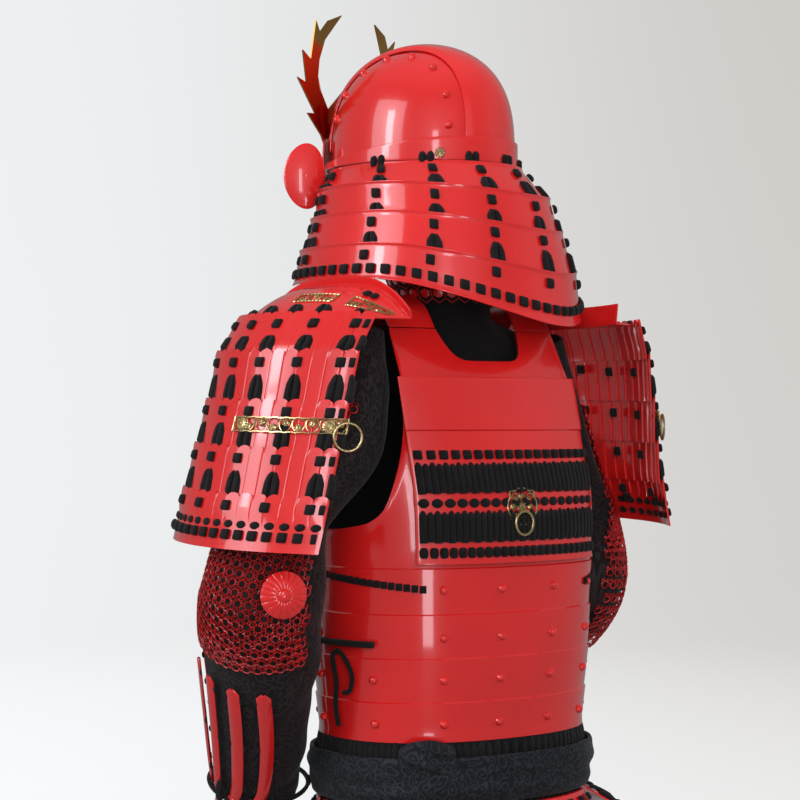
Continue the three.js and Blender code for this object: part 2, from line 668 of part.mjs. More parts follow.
// Splints fan down the forearm and join in one plate at the wrist.
function splintSolid(arm) {
  const lift = 2 * GAP + PLATE + 1.5;
  const points = [];
  const faces = [];
  const sleeveRows = [8, 9, 10, 11].map((row) => row / SLEEVE_ROWS);
  const stations = [SPLINTS.top, ...sleeveRows, SPLINTS.bottom];
  const pitch = (SPLINTS.front - SPLINTS.rear) / SPLINTS.count;
  const edges = [];
  for (let k = 0; k < SPLINTS.count; k += 1) {
    const centre = SPLINTS.rear + pitch * (k + 0.5);
    edges.push([centre - 0.5 * pitch * SPLINT_FILL, centre + 0.5 * pitch * SPLINT_FILL]);
  }
  const columns = edges.flat();
  const layers = [lift, lift - PLATE];
  layers.forEach((height) => stations.forEach((along) => columns.forEach((angle) => {
    points.push(arm.point(along, angle, height));
  })));
  const wide = columns.length;
  const layer = wide * stations.length;
  const at = (i, j, deep) => deep * layer + j * wide + i;
  const filled = (i, j) => i >= 0 && i < wide - 1 && j >= 0 && j < stations.length - 1
    && (i % 2 === 0 || j === stations.length - 2);
  const quad = (a, b, c, d) => faces.push(a, b, c, a, c, d);
  for (let j = 0; j < stations.length - 1; j += 1) {
    for (let i = 0; i < wide - 1; i += 1) {
      if (!filled(i, j)) continue;
      quad(at(i, j, 0), at(i + 1, j, 0), at(i + 1, j + 1, 0), at(i, j + 1, 0));
      quad(at(i, j, 1), at(i, j + 1, 1), at(i + 1, j + 1, 1), at(i + 1, j, 1));
      if (!filled(i, j - 1)) quad(at(i, j, 0), at(i, j, 1), at(i + 1, j, 1), at(i + 1, j, 0));
      if (!filled(i, j + 1)) quad(at(i, j + 1, 0), at(i + 1, j + 1, 0), at(i + 1, j + 1, 1), at(i, j + 1, 1));
      if (!filled(i - 1, j)) quad(at(i, j, 0), at(i, j + 1, 0), at(i, j + 1, 1), at(i, j, 1));
      if (!filled(i + 1, j)) quad(at(i + 1, j, 0), at(i + 1, j, 1), at(i + 1, j + 1, 1), at(i + 1, j + 1, 0));
    }
  }
  return solid(points, faces);
}

function elbowDisc(arm, angle) {
  const centre = arm.point(ELBOW.along, angle, PLATE + 2 * GAP + CLOTH);
  const rim = arm.point(ELBOW.along, angle, 0);
  const out = centre.clone().sub(rim).normalize();
  const profile = [
    [0, 0], [ELBOW.radius, 0], [ELBOW.radius, 1.5], [ELBOW.radius * 0.75, ELBOW.rise * 0.65],
    [ELBOW.radius * 0.3, ELBOW.rise], [0, ELBOW.rise],
  ].map(([x, y]) => new THREE.Vector2(x, y));
  const geometry = new THREE.LatheGeometry(profile, 20);
  geometry.applyQuaternion(new THREE.Quaternion().setFromUnitVectors(vec(0, 1, 0), out));
  const seat = centre.clone().addScaledVector(out, 3.5);
  return geometry.translate(seat.x, seat.y, seat.z);
}

function addSleeve(side, stations, hand) {
  const arm = makeArm(stations, hand);
  const sleeve = (u, v) => arm.point(v, u * 360);
  const tube = { columns: 16, rows: SLEEVE_ROWS, thickness: CLOTH, ring: true, hand };
  place(`${side}_sleeve`, 'cloth', wall(sleeve, tube));
  const mailRows = MAIL.rear.length - 1;
  const mail = (u, v) => {
    const row = clamp01(v) * mailRows;
    const above = Math.min(mailRows - 1, Math.floor(row));
    const rear = mix(MAIL.rear[above], MAIL.rear[above + 1], row - above);
    return arm.point(mix(MAIL.top, MAIL.bottom, v), mix(rear, MAIL.front, u));
  };
  const mailLift = 2 * GAP + PLATE + 1.5;
  place(`${side}_mail`, 'mail', wall(mail, { columns: 10, rows: mailRows, lift: mailLift, hand }));
  place(`${side}_elbow_disc`, 'lacquer', elbowDisc(arm, ELBOW[side]));
  place(`${side}_splints`, 'lacquer', splintSolid(arm));
  const wristLift = 2 * GAP + PLATE + CORD_RADIUS + 2.5;
  const wrap = [];
  for (let step = 0; step <= 16; step += 1) {
    wrap.push(arm.point(WRIST, mix(-168, 186, step / 16), wristLift));
  }
  place(`${side}_wrist_cord`, 'braid', cord(wrap));
  const share = HAND.length / arm.length;
  const plate = (u, v) => {
    const bulge = 1 - (2 * u - 1) ** 2;
    const along = 1.005 + share * v * mix(0.55, 1, bulge);
    return arm.point(along, 90 + mix(-HAND.spread, HAND.spread, u), HAND.lift + HAND.flare * v);
  };
  place(`${side}_hand_guard`, 'lacquer', wall(plate, { columns: 10, rows: 3, hand }));
}

// ------------------------------------------------------------- belt and skirt
function aroundWaist(top, bottom, grow) {
  return (u, v) => torsoPoint(u * 360, mix(top, bottom, v), grow);
}

function beltPoint(u, v) {
  const bulge = Math.sin(Math.PI * v) * 4;
  return torsoPoint(u * 360, mix(BELT.top, BELT.bottom, v), BELT.lift + BELT.thickness + bulge);
}

// One skirt plate: laced lames, each standing out at its foot over the head of the next.
function tassetPoint(row) {
  const flare = row.flare * RAD;
  const profile = [];
  for (let lame = 0; lame < TASSET.lames; lame += 1) {
    profile.push({ drop: lame * TASSET.exposure, out: 0 });
    profile.push({ drop: (lame + TASSET.foot) * TASSET.exposure, out: TASSET.step });
  }
  profile.push({ drop: TASSET.lames * TASSET.exposure, out: TASSET.step });
  return (u, v) => {
    const across = mix(-TASSET.spread, TASSET.spread, u);
    const spot = v * (profile.length - 1);
    const cell = Math.min(profile.length - 2, Math.floor(spot + 1e-9));
    const drop = mix(profile[cell].drop, profile[cell + 1].drop, spot - cell);
    const step = mix(profile[cell].out, profile[cell + 1].out, spot - cell);
    const root = torsoPoint(row.angle + across, TASSET.top, TASSET.lift);
    const face = torsoPoint(row.angle, TASSET.top).setZ(0).normalize();
    const outward = vec(root.x, root.y, 0).normalize().lerp(face, TASSET.flatness).normalize();
    return root.addScaledVector(outward, drop * Math.sin(flare) + step)
      .add(vec(0, 0, -drop * Math.cos(flare)));
  };
}

function addSkirt() {
  const lacing = aroundWaist(LACING.top, LACING.bottom, LACING.lift + CLOTH);
  place('waist_lacing', 'braid', wall(lacing, { columns: 32, rows: 1, thickness: CLOTH, ring: true }));
  place('belt', 'cloth', wall(beltPoint, { columns: 32, rows: 3, thickness: BELT.thickness, ring: true }));
  for (const row of TASSETS) {
    place(`tasset_${row.name}`, 'lacquer', wall(tassetPoint(row), { columns: 6, rows: 2 * TASSET.lames }));
  }
}

addHelmet();
addCuirass();
addSideTie();
addCollar();
addShoulderGuard('left', LEFT_GUARD);
addShoulderGuard('right', RIGHT_GUARD);
addSleeve('left', LEFT_ARM, 1);
addSleeve('right', RIGHT_ARM, -1);
addSkirt();

export default armour;
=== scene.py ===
"""Upper-body samurai armour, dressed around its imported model."""
import math

import bpy
from mathutils import Matrix, Vector


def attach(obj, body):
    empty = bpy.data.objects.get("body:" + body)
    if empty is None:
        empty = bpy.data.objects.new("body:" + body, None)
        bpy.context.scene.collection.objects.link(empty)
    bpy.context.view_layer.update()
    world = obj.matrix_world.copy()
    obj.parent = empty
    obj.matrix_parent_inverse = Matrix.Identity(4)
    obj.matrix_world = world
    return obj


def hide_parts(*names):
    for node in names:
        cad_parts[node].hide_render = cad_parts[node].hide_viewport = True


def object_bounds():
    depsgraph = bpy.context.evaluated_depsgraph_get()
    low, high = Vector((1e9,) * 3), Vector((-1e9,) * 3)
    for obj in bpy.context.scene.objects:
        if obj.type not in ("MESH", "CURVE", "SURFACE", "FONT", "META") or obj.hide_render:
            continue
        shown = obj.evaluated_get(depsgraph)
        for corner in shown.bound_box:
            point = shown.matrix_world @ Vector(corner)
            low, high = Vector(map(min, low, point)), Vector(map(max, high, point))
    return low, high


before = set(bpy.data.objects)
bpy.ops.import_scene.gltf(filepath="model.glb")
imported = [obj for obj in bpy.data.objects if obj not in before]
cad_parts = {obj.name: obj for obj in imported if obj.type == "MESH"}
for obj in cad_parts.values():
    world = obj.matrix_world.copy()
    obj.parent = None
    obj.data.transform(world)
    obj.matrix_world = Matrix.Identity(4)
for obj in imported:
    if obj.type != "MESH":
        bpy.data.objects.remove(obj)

bl_info = {
    "name": "Samurai Armour",
    "version": (1, 0, 0),
    "blender": (4, 5, 0),
    "location": "3D View > Sidebar > Armour",
    "description": "Lacquered plates, lacing, mail and cloth of a worn suit of armour",
    "category": "Add Mesh",
}

MM = 0.001
CAD_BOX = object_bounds()
CAMERA_SIDE = Vector((0.574, 0.819, 0))
CAMERA_RIGHT = Vector((-0.819, 0.574, 0))

# ------------------------------------------------------------ measures, in mm
GAP = 0.4
PLATE = 2.0
CLOTH = 2.5
THIN = 1.2
STEP = 4.5
CORD_RADIUS = 2.6

TORSO_POWER = 2.3
TORSO = {  # height: half width, depth behind, depth in front
    -34: (170, 45.5, 58), -72: (170, 71, 84), -88: (170, 79, 93), -145: (170, 98, 112),
    -220: (170, 121, 124), -290: (170, 125, 126), -390: (166, 122, 123), -560: (152, 110, 111),
}
CUIRASS_BOTTOM = -488
CUIRASS_SPAN = {"back": 96.6, "front": 82.6}
ARMHOLE = [(39.5, -88), (42, -148), (50, -205), (58, -240), (68, -252), (90, -258), (100, -258)]
STRAP = {"inner": 57, "outer": 114, "bottom": -36, "slope": 8}
STRAP_PATH = [(0, 45, -35.6), (0.25, 27, -12), (0.5, 0, 3), (0.75, -30, -10), (1, -59, -35.6)]
NECKLINE = {"back": -72, "front": -84}
LAME_LINES = [-299, -349, -397, -445]
PANEL = {"half": 119, "top": -90, "bottom": -294, "lift": 6, "seam": -150}

HEAD = {"x": 5, "y": -55, "turn": math.radians(22)}
BOWL = {"length": 109, "width": 94, "base": 158, "height": 137, "lean": 5}
RIDGE = {"base": 0.54, "crown": 0.4, "lap": 0.04}
BAND = {"bottom": 154, "front": 160, "back": 182, "lift": 8}
BROW = {"spread": 34, "top": 197, "bottom": 163, "reach": 38, "drop": 11, "lift": 11}
NECK_EDGES = [  # height behind, rise to the front, shift, length, width
    (152, 0, 6, 115, 101), (116, 12, 16, 134, 124), (76, 19, 21, 144, 135),
    (27, 31, 23, 158.5, 149), (-33, 51, 21, 170, 160),
]
NECK_END = 142
NECK_COLUMNS = [-125, -86, -57, -29, 0, 29, 57, 86, 125]
EAR = {"height": 38, "width": 24, "forward": 111, "side": 79, "z": 147}

COLLAR = [(46, -20, 74, 72), (-8, -12, 54, 56)]  # height, centre, half width, half depth
COLLAR_OPENING = 158

GUARDS = {
    "left": {
        "hand": 1, "facing": 77, "crown": 45, "collar": 9,
        "edges": [(-25, 112, 142), (-65, 135, 147), (-118, 148, 147),
                  (-168, 160, 149), (-218, 172, 151), (-276, 187, 155)],
    },
    "right": {
        "hand": -1, "facing": 103, "crown": 13.5, "collar": 22,
        "edges": [(-20, 93, 142), (-58, 109, 142), (-108, 117, 142),
                  (-158, 121, 143), (-206, 127, 144), (-264, 144, 145)],
    },
}
GUARD_SPREAD = 45.5
GUARD_TILT = 10
GUARD_STRIPS = 15
CROWN = {"chord": 54, "half": 107, "base": -5, "radius": 136}
GUARD_INNER = [  # knots on the inside of each lame: degrees and height
    [(10, -76), (-8, -79), (-30, -80)], [(10, -128), (-8, -130), (-29, -132)],
    [(10, -177), (-8, -178), (-28, -180)], [(10, -222), (-8, -223), (-33, -224)],
    [(10, -236), (-8, -236), (-33, -236)],
]
BAR = {"rear": -44.8, "front": 0.5, "drop": 28, "height": 18}
GUARD_RING = {"radius": 14.5, "wire": 1.7, "angle": -47.5, "drop": 39}

ARMS = {  # x, y, z, half depth, half width
    "left": [
        (134, 0, -42, 40, 26), (146, 9, -102, 50, 38), (160, 11, -162, 60, 43), (230, 4, -236, 62, 50),
        (252, -2, -335, 66, 66), (240, -26, -395, 66, 60), (221, -60, -465, 58, 53),
        (203, -92, -530, 46, 48), (200, -100, -556, 42, 44),
    ],
    "right": [
        (-132, -12, -42, 40, 26), (-152, -20, -110, 46, 36), (-182, -28, -190, 50, 37),
        (-225, -48, -268, 56, 44), (-228, -52, -335, 60, 54), (-214, -98, -386, 60, 60),
        (-190, -152, -412, 54, 54), (-168, -204, -432, 46, 48), (-160, -226, -442, 42, 44),
    ],
}
HANDS = {"left": 1, "right": -1}
MAIL = {"top": 2 / 12, "bottom": 7 / 12, "front": 195, "rear": [30, 34, 8, -10, -10, -10]}
SPLINTS = {"top": 0.63, "bottom": 0.99, "rear": 20, "front": 165, "count": 5, "fill": 0.56}
ELBOW = {"along": 0.475, "left": 17, "right": 95, "radius": 24, "rise": 9}
WRIST = 0.925
HAND = {"length": 92, "spread": 62}

BELT = {"top": -503, "bottom": -556, "lift": 4.5, "thickness": 9}
LACING = {"top": -489, "bottom": -575, "lift": 1}
TUCK = {"angle": 38, "spread": 13, "z": -503, "half": 20, "thickness": 15, "lift": 4}
TASSETS = {
    "back_left": (26, 20), "side_left": (77, 13), "front_left": (129, 15), "front": (180, 20),
    "front_right": (231, 22), "side_right": (283, 58), "back_right": (334, 32),
}
TASSET = {"spread": 23, "top": -560, "lift": 8, "lames": 5, "exposure": 44, "foot": 0.88,
          "step": 3.5, "flatness": 0.55}
SIDE_TIE = {"z": -381, "rear": 62, "front": 96, "lift": 6.5}
TIE_TAIL = [(86, -474), (87, -450), (85.5, -424), (87, -398), (83, -390), (78, -401),
            (75, -418), (77, -433), (81, -436)]


# ------------------------------------------------------------------ arithmetic
def mix(a, b, t):
    return a + (b - a) * t


def clamp01(t):
    return min(1.0, max(0.0, t))


def smooth(t):
    t = clamp01(t)
    return t * t * (3 - 2 * t)


def power(value, exponent):
    return math.copysign(abs(value) ** exponent, value)


def look_up(rows, at):
    """Columns of a table of (key, value, ...) rows at a key, linear between rows."""
    rows = sorted(rows)
    for low, high in zip(rows, rows[1:]):
        if at <= high[0] or high is rows[-1]:
            t = clamp01((at - low[0]) / (high[0] - low[0]))
            return [mix(a, b, t) for a, b in zip(low[1:], high[1:])]


def eased(rows, at):
    """Value of a two-column table at a key, on a smooth curve that never overshoots."""
    keys = [row[0] for row in rows]
    cell = max(0, min(len(rows) - 2, sum(key <= at for key in keys) - 1))
    slopes = [(b[1] - a[1]) / (b[0] - a[0]) for a, b in zip(rows, rows[1:])]
    ends = [slopes[0], *slopes, slopes[-1]]
    lean = [0 if a * b <= 0 else 2 * a * b / (a + b) for a, b in zip(ends, ends[1:])]
    (x0, y0), (x1, y1) = rows[cell], rows[cell + 1]
    width = x1 - x0
    t = clamp01((at - x0) / width)
    return (
        y0 * (1 + 2 * t) * (1 - t) ** 2 + lean[cell] * width * t * (1 - t) ** 2
        + y1 * t * t * (3 - 2 * t) + lean[cell + 1] * width * t * t * (t - 1)
    )


def spread(first, last, count):
    """Evenly spaced numbers from first to last."""
    return [mix(first, last, k / (count - 1)) for k in range(count)]


def spline(points, per_span):
    """Points of a smooth curve through the given ones."""
    ends = [points[0] * 2 - points[1], *points, points[-1] * 2 - points[-2]]
    found = []
    for a, b, c, d in zip(ends, ends[1:], ends[2:], ends[3:]):
        for k in range(per_span):
            t = k / per_span
            found.append(0.5 * (b * 2 + (c - a) * t + (a * 2 - b * 5 + c * 4 - d) * t * t
                                + (b * 3 - a - c * 3 + d) * t ** 3))
    return [*found, points[-1]]


# -------------------------------------------------------------------- surfaces
class Skin:
    """A surface that pieces and details are laid on, in mm.

    at(u, v) gives its points; up is the sign of v that climbs, and hand the sign that
    turns the product of its two directions outwards."""

    def __init__(self, at, du=0.2, dv=0.5, up=1, hand=1):
        self.at, self.du, self.dv, self.up, self.hand = at, du, dv, up, hand

    def directions(self, u, v):
        across = (self.at(u + self.du, v) - self.at(u - self.du, v)) / (2 * self.du)
        down = (self.at(u, v + self.dv) - self.at(u, v - self.dv)) / (2 * self.dv)
        return across, down

    def normal(self, u, v):
        across, down = self.directions(u, v)
        return across.cross(down).normalized() * self.hand

    def layer(self, lift):
        """The same surface moved outwards."""
        def raised(u, v):
            return self.at(u, v) + self.normal(u, v) * lift
        return Skin(raised, self.du, self.dv, self.up, self.hand)

    def laid(self, u, v, points, turn=0.0):
        """Points (x across, y up, height) of a detail, laid on the surface at (u, v)."""
        across, down = self.directions(u, v)
        wide, tall = across.length, down.length
        cos, sin = math.cos(turn), math.sin(turn)
        found = []
        for x, y, height in points:
            place = (u + (x * cos - y * sin) / wide, v + self.up * (x * sin + y * cos) / tall)
            found.append(self.at(*place) + self.normal(*place) * height)
        return found


def torso_point(degrees, z, grow=0.0):
    half, back, front = look_up([(key, *row) for key, row in TORSO.items()], z)
    angle = math.radians(degrees)
    depth = back if math.cos(angle) >= 0 else front
    return Vector((
        (half + grow) * power(math.sin(angle), 2 / TORSO_POWER),
        (depth + grow) * power(math.cos(angle), 2 / TORSO_POWER),
        z,
    ))


TORSO_SKIN = Skin(torso_point, up=1, hand=-1)


def torso_angle(x, z):
    half = look_up([(key, *row) for key, row in TORSO.items()], z)[0]
    return math.copysign(math.degrees(math.asin(clamp01(abs(x) / half) ** (TORSO_POWER / 2))), x)


def head_point(behind, left, z):
    turn = HEAD["turn"]
    return Vector((
        HEAD["x"] - behind * math.sin(turn) + left * math.cos(turn),
        HEAD["y"] + behind * math.cos(turn) + left * math.sin(turn),
        z,
    ))


def bowl_point(angle, share, grow=0.0):
    radius = math.sqrt(max(0.0, 1 - share ** 3))
    behind = (BOWL["length"] + grow) * radius * math.cos(angle) + BOWL["lean"] * share * share
    return head_point(behind, (BOWL["width"] + grow) * radius * math.sin(angle),
                      BOWL["base"] + (BOWL["height"] + grow) * share)


def neck_edge(index, angle, grow=0.0):
    z, rise, shift, length, width = NECK_EDGES[index]
    return head_point(shift + (length + grow) * math.cos(angle), (width + grow) * math.sin(angle),
                      z + rise * smooth(abs(angle) / (math.pi / 2)))


def neck_skin(index):
    """A lame of the neck guard: degrees from the back, and share of its fall."""
    def at(degrees, share):
        angle = math.radians(degrees)
        head = neck_edge(index, angle, STEP if index else 0.0)
        foot = neck_edge(index + 1, angle)
        if share <= 1 or index == len(NECK_EDGES) - 2:
            return head.lerp(foot, share)
        onward = neck_edge(index + 2, angle) - foot
        return foot + onward.normalized() * (foot - head).length * (share - 1)
    return Skin(at, dv=0.01, up=-1)


def guard_skin(guard):
    edges = guard["edges"]
    top, low = edges[0][0], edges[-1][0]

    def at(degrees, z):
        centre, radius = look_up(edges, z)
        angle = math.radians(guard["facing"] + degrees)
        tilt = GUARD_TILT * ((z - top) / (low - top)) * (degrees / GUARD_SPREAD + 1) * 0.5
        return Vector((guard["hand"] * (centre + radius * math.sin(angle)),
                       radius * math.cos(angle), z + tilt))
    return Skin(at, up=1, hand=-guard["hand"])


def arm_skin(side):
    """A sleeve: degrees from the elbow side outwards, and share of its stations."""
    rows = ARMS[side]
    path = spline([Vector(row[:3]) for row in rows], 24)
    hand = HANDS[side]
    length = sum((b - a).length for a, b in zip(path, path[1:]))

    def centre(along):
        spot = clamp01(along) * (len(path) - 1)
        k = min(len(path) - 2, int(spot))
        return path[k].lerp(path[k + 1], spot - k)

    def at(degrees, along):
        here = clamp01(along)
        down = (centre(here + 0.01) - centre(here - 0.01)).normalized()
        rear = (Vector((0, 1, 0)) - down * down.y).normalized()
        outward = down.cross(rear) * hand
        spot = here * (len(rows) - 1)
        cell = min(len(rows) - 2, int(spot))
        depth, half = (mix(a, b, spot - cell) for a, b in zip(rows[cell][3:], rows[cell + 1][3:]))
        angle = math.radians(degrees)
        return (centre(here) + rear * depth * math.cos(angle) + outward * half * math.sin(angle)
                + down * max(0.0, along - 1) * length)
    skin = Skin(at, du=2, dv=0.01, up=-1, hand=hand)
    skin.length = length
    return skin


def mail_rear(along):
    """Angle of the mail's rear edge at a share of the sleeve."""
    last = len(MAIL["rear"]) - 1
    rows = [(mix(MAIL["top"], MAIL["bottom"], k / last), angle) for k, angle in enumerate(MAIL["rear"])]
    return look_up(rows, along)[0]


def collar_skin():
    def at(degrees, share):
        (z0, y0, w0, d0), (z1, y1, w1, d1) = COLLAR
        angle = math.radians(degrees)
        return Vector((mix(w0, w1, share) * math.sin(angle),
                       mix(y0, y1, share) + mix(d0, d1, share) * math.cos(angle), mix(z0, z1, share)))
    return Skin(at, du=1, dv=0.02, up=-1)


def tasset_skin(angle, flare):
    flare = math.radians(flare)
    profile = []
    for lame in range(TASSET["lames"]):
        profile += [(lame, 0), (lame + TASSET["foot"], TASSET["step"])]
    profile.append((TASSET["lames"], TASSET["step"]))
    face = torso_point(angle, TASSET["top"])
    face.z = 0
    face.normalize()

    def at(across, lames):
        drop = lames * TASSET["exposure"]
        root = torso_point(angle + across, TASSET["top"], TASSET["lift"])
        outward = Vector((root.x, root.y, 0)).normalized().lerp(face, TASSET["flatness"]).normalized()
        step = look_up(profile, lames)[0]
        return root + outward * (drop * math.sin(flare) + step) - Vector((0, 0, drop * math.cos(flare)))
    return Skin(at, du=1, dv=0.02, up=-1)


# ----------------------------------------------------------------- mesh making
def begin():
    if bpy.context.mode != "OBJECT":
        bpy.ops.object.mode_set(mode="OBJECT")
    bpy.ops.object.select_all(action="DESELECT")


def only(obj):
    begin()
    obj.select_set(True)
    bpy.context.view_layer.objects.active = obj


def bent_grid(name, at, columns, rows, out=1, ring=False, us=None, vs=None):
    """A grid shaped to at(u, v), in mm. us and vs place its columns and rows; out is -1
    where the grid would otherwise face inwards."""
    begin()
    bpy.ops.mesh.primitive_grid_add(x_subdivisions=columns, y_subdivisions=rows, size=2)
    obj = bpy.context.object
    obj.name = obj.data.name = name
    us = us or spread(0, 1, columns + 1)
    vs = vs or spread(0, 1, rows + 1)
    cells = []
    for vertex in obj.data.vertices:
        i = round((vertex.co.x + 1) / 2 * columns)
        j = round((1 - vertex.co.y) / 2 * rows)
        cells.append((i, j))
        vertex.co = at(us[i], vs[j]) * MM
    # the map runs in metres along the middle row and column
    place = {cell: obj.data.vertices[k].co for k, cell in enumerate(cells)}
    across, down = [0.0], [0.0]
    for i in range(columns):
        across.append(across[-1] + (place[i + 1, rows // 2] - place[i, rows // 2]).length)
    for j in range(rows):
        down.append(down[-1] + (place[columns // 2, j + 1] - place[columns // 2, j]).length)
    layer = obj.data.uv_layers.active.data
    for loop in obj.data.loops:
        i, j = cells[loop.vertex_index]
        layer[loop.index].uv = (across[i], -down[j])
    if out > 0:
        obj.data.flip_normals()
    if ring:
        only(obj)
        bpy.ops.object.mode_set(mode="EDIT")
        bpy.ops.mesh.select_all(action="SELECT")
        bpy.ops.mesh.remove_doubles(threshold=0.00002)
        bpy.ops.object.mode_set(mode="OBJECT")
    return obj


def thicken(obj, thickness, edge=0.35, offset=-1.0):
    """Gives a bent grid its wall and softens the wall's edges."""
    only(obj)
    wall = obj.modifiers.new("Wall", "SOLIDIFY")
    wall.thickness = thickness * MM
    wall.offset = offset
    bpy.ops.object.modifier_apply(modifier=wall.name)
    if edge:
        soften(obj, edge)
    return obj


def soften(obj, width, angle=55, segments=2):
    only(obj)
    bevel = obj.modifiers.new("Edge", "BEVEL")
    bevel.width = width * MM
    bevel.segments = segments
    bevel.limit_method = "ANGLE"
    bevel.angle_limit = math.radians(angle)
    bpy.ops.object.modifier_apply(modifier=bevel.name)
    return obj


def finish(obj, material, slot, *nodes, angle=38):
    """Shades, paints and fixes a piece to the suit, standing for the named nodes."""
    only(obj)
    bpy.ops.object.shade_smooth_by_angle(angle=math.radians(angle))
    obj.data.materials.clear()
    obj.data.materials.append(material)
    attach(obj, "root")
    if nodes:
        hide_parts(*nodes)
    return obj


def shape_of(obj):
    """Takes a template's points (mm) and faces, and removes the template."""
    points = [tuple(vertex.co) for vertex in obj.data.vertices]
    faces = [tuple(polygon.vertices) for polygon in obj.data.polygons]
    only(obj)
    bpy.ops.object.delete()
    return points, faces


class Pile:
    """Copies of small details, gathered in one mesh."""

    def __init__(self):
        self.points, self.faces, self.map = [], [], []

    def add(self, placed, faces, plan):
        start = len(self.points)
        self.points += placed
        self.map += [(x * MM, y * MM) for x, y, *_ in plan]
        self.faces += [tuple(start + k for k in face) for face in faces]

    def lay(self, skin, u, v, template, turn=0.0, size=(1.0, 1.0, 1.0), lift=0.0):
        points, faces = template
        plan = [(x * size[0], y * size[1], h * size[2] + lift) for x, y, h in points]
        if skin.hand * skin.up < 0:  # the surface's own directions are left-handed
            faces = [face[::-1] for face in faces]
        self.add(skin.laid(u, v, plan, turn), faces, plan)

    def mesh(self, name):
        begin()
        mesh = bpy.data.meshes.new(name)
        mesh.from_pydata([point * MM for point in self.points], [], self.faces)
        layer = mesh.uv_layers.new(name="UVMap").data
        for loop in mesh.loops:
            layer[loop.index].uv = self.map[loop.vertex_index]
        obj = bpy.data.objects.new(name, mesh)
        bpy.context.collection.objects.link(obj)
        return obj


def tube_ring(centre, across, up, radius, sides, stretch=1.0):
    return [centre + (across * math.cos(2 * math.pi * k / sides) * stretch
                      + up * math.sin(2 * math.pi * k / sides)) * radius for k in range(sides)]


def add_tube(pile, path, radius, sides=8, closed=False, stretch=1.0):
    """A rod along points; radius may be one number or one for each point."""
    radii = radius if isinstance(radius, list) else [radius] * len(path)
    count = len(path)
    start = len(pile.points)
    up = Vector((0.31, 0.17, 0.93))
    run = 0.0
    for k, point in enumerate(path):
        before = path[k - 1] if k or closed else path[0]
        after = path[(k + 1) % count] if k < count - 1 or closed else path[-1]
        along = (after - before).normalized()
        across = up.cross(along)
        if across.length < 0.05:
            across = Vector((1, 0, 0)).cross(along)
        across.normalize()
        up = along.cross(across).normalized()
        pile.points += tube_ring(point, across, up, radii[k], sides, stretch)
        run += (point - before).length if k else 0
        pile.map += [(side / sides * 2 * math.pi * radii[k] * MM, run * MM) for side in range(sides)]
    spans = count if closed else count - 1
    for k in range(spans):
        for side in range(sides):
            a = start + k * sides + side
            b = start + k * sides + (side + 1) % sides
            c = start + ((k + 1) % count) * sides + (side + 1) % sides
            d = start + ((k + 1) % count) * sides + side
            pile.faces.append((a, b, c, d))
    if not closed:
        last = start + (count - 1) * sides
        pile.faces.append(tuple(start + side for side in reversed(range(sides))))
        pile.faces.append(tuple(last + side for side in range(sides)))


# ------------------------------------------------------------- small templates
def dome(radius, height, columns=10, rings=3):
    """A domed stud with its rim on the surface."""
    points = [(0.0, 0.0, height)]
    faces = []
    for ring in range(1, rings + 1):
        t = ring / rings
        level = height * math.sqrt(max(0.0, 1 - t * t)) if ring < rings else -0.5
        for k in range(columns):
            angle = 2 * math.pi * k / columns
            points.append((radius * t * math.cos(angle), radius * t * math.sin(angle), level))
    for k in range(columns):
        faces.append((0, 1 + k, 1 + (k + 1) % columns))
        for ring in range(rings - 1):
            a = 1 + ring * columns + k
            b = 1 + ring * columns + (k + 1) % columns
            faces.append((a, a + columns, b + columns, b))
    faces.append(tuple(1 + (rings - 1) * columns + k for k in reversed(range(columns))))
    return points, faces


def cushion(width, height, thick, pinch, cells=8, cross=0.0, round=0.26):
    """A puffed knot with rounded corners, drawn-in sides and a raised crossing."""
    begin()
    bpy.ops.mesh.primitive_grid_add(x_subdivisions=cells, y_subdivisions=cells, size=2)
    obj = bpy.context.object
    for vertex in obj.data.vertices:
        x, y = vertex.co.x, vertex.co.y
        puff = (1 - abs(x) ** 3) * (1 - abs(y) ** 3)
        crossing = cross * (1 - min(abs(x - y), abs(x + y))) * (1 - max(abs(x), abs(y)) ** 2)
        vertex.co = (
            width / 2 * x * (1 - pinch * (1 - y * y) * abs(x) ** 3) * (1 - round * x * x * y * y),
            height / 2 * y * (1 - pinch * (1 - x * x) * abs(y) ** 3) * (1 - round * x * x * y * y),
            thick * (0.25 + 0.75 * puff ** 0.5 * (0.85 + crossing)),
        )
    only(obj)
    wall = obj.modifiers.new("Foot", "SOLIDIFY")
    wall.thickness = 1.0
    wall.offset = -1
    bpy.ops.object.modifier_apply(modifier=wall.name)
    for vertex in obj.data.vertices:
        vertex.co.z = max(vertex.co.z, -0.4)
    return shape_of(obj)


def lace(width, length, thick, tip=0.4, lean=0.0, dive=1.0):
    """A flat plaited lace from its hole at y = 0 down to y = -length; lean shifts its top
    sideways, and dive tucks its end under what lies below it."""
    begin()
    bpy.ops.mesh.primitive_grid_add(x_subdivisions=4, y_subdivisions=10, size=2)
    obj = bpy.context.object
    for vertex in obj.data.vertices:
        x, t = vertex.co.x, (1 - vertex.co.y) / 2
        wide = mix(0.3, 1.0, math.sqrt(clamp01(t / tip)))
        rise = math.sqrt(clamp01(t / 0.2)) * (1 - 0.7 * dive * smooth((t - 0.78) / 0.22))
        vertex.co = (x * width / 2 * wide + lean * (1 - smooth(t / 0.5)), -length * t,
                     thick * (0.12 + 0.88 * rise * (1 - x * x) ** 0.5))
    only(obj)
    wall = obj.modifiers.new("Foot", "SOLIDIFY")
    wall.thickness = 0.9
    wall.offset = -1
    bpy.ops.object.modifier_apply(modifier=wall.name)
    for vertex in obj.data.vertices:
        vertex.co.z = max(vertex.co.z, -0.3)
    return shape_of(obj)


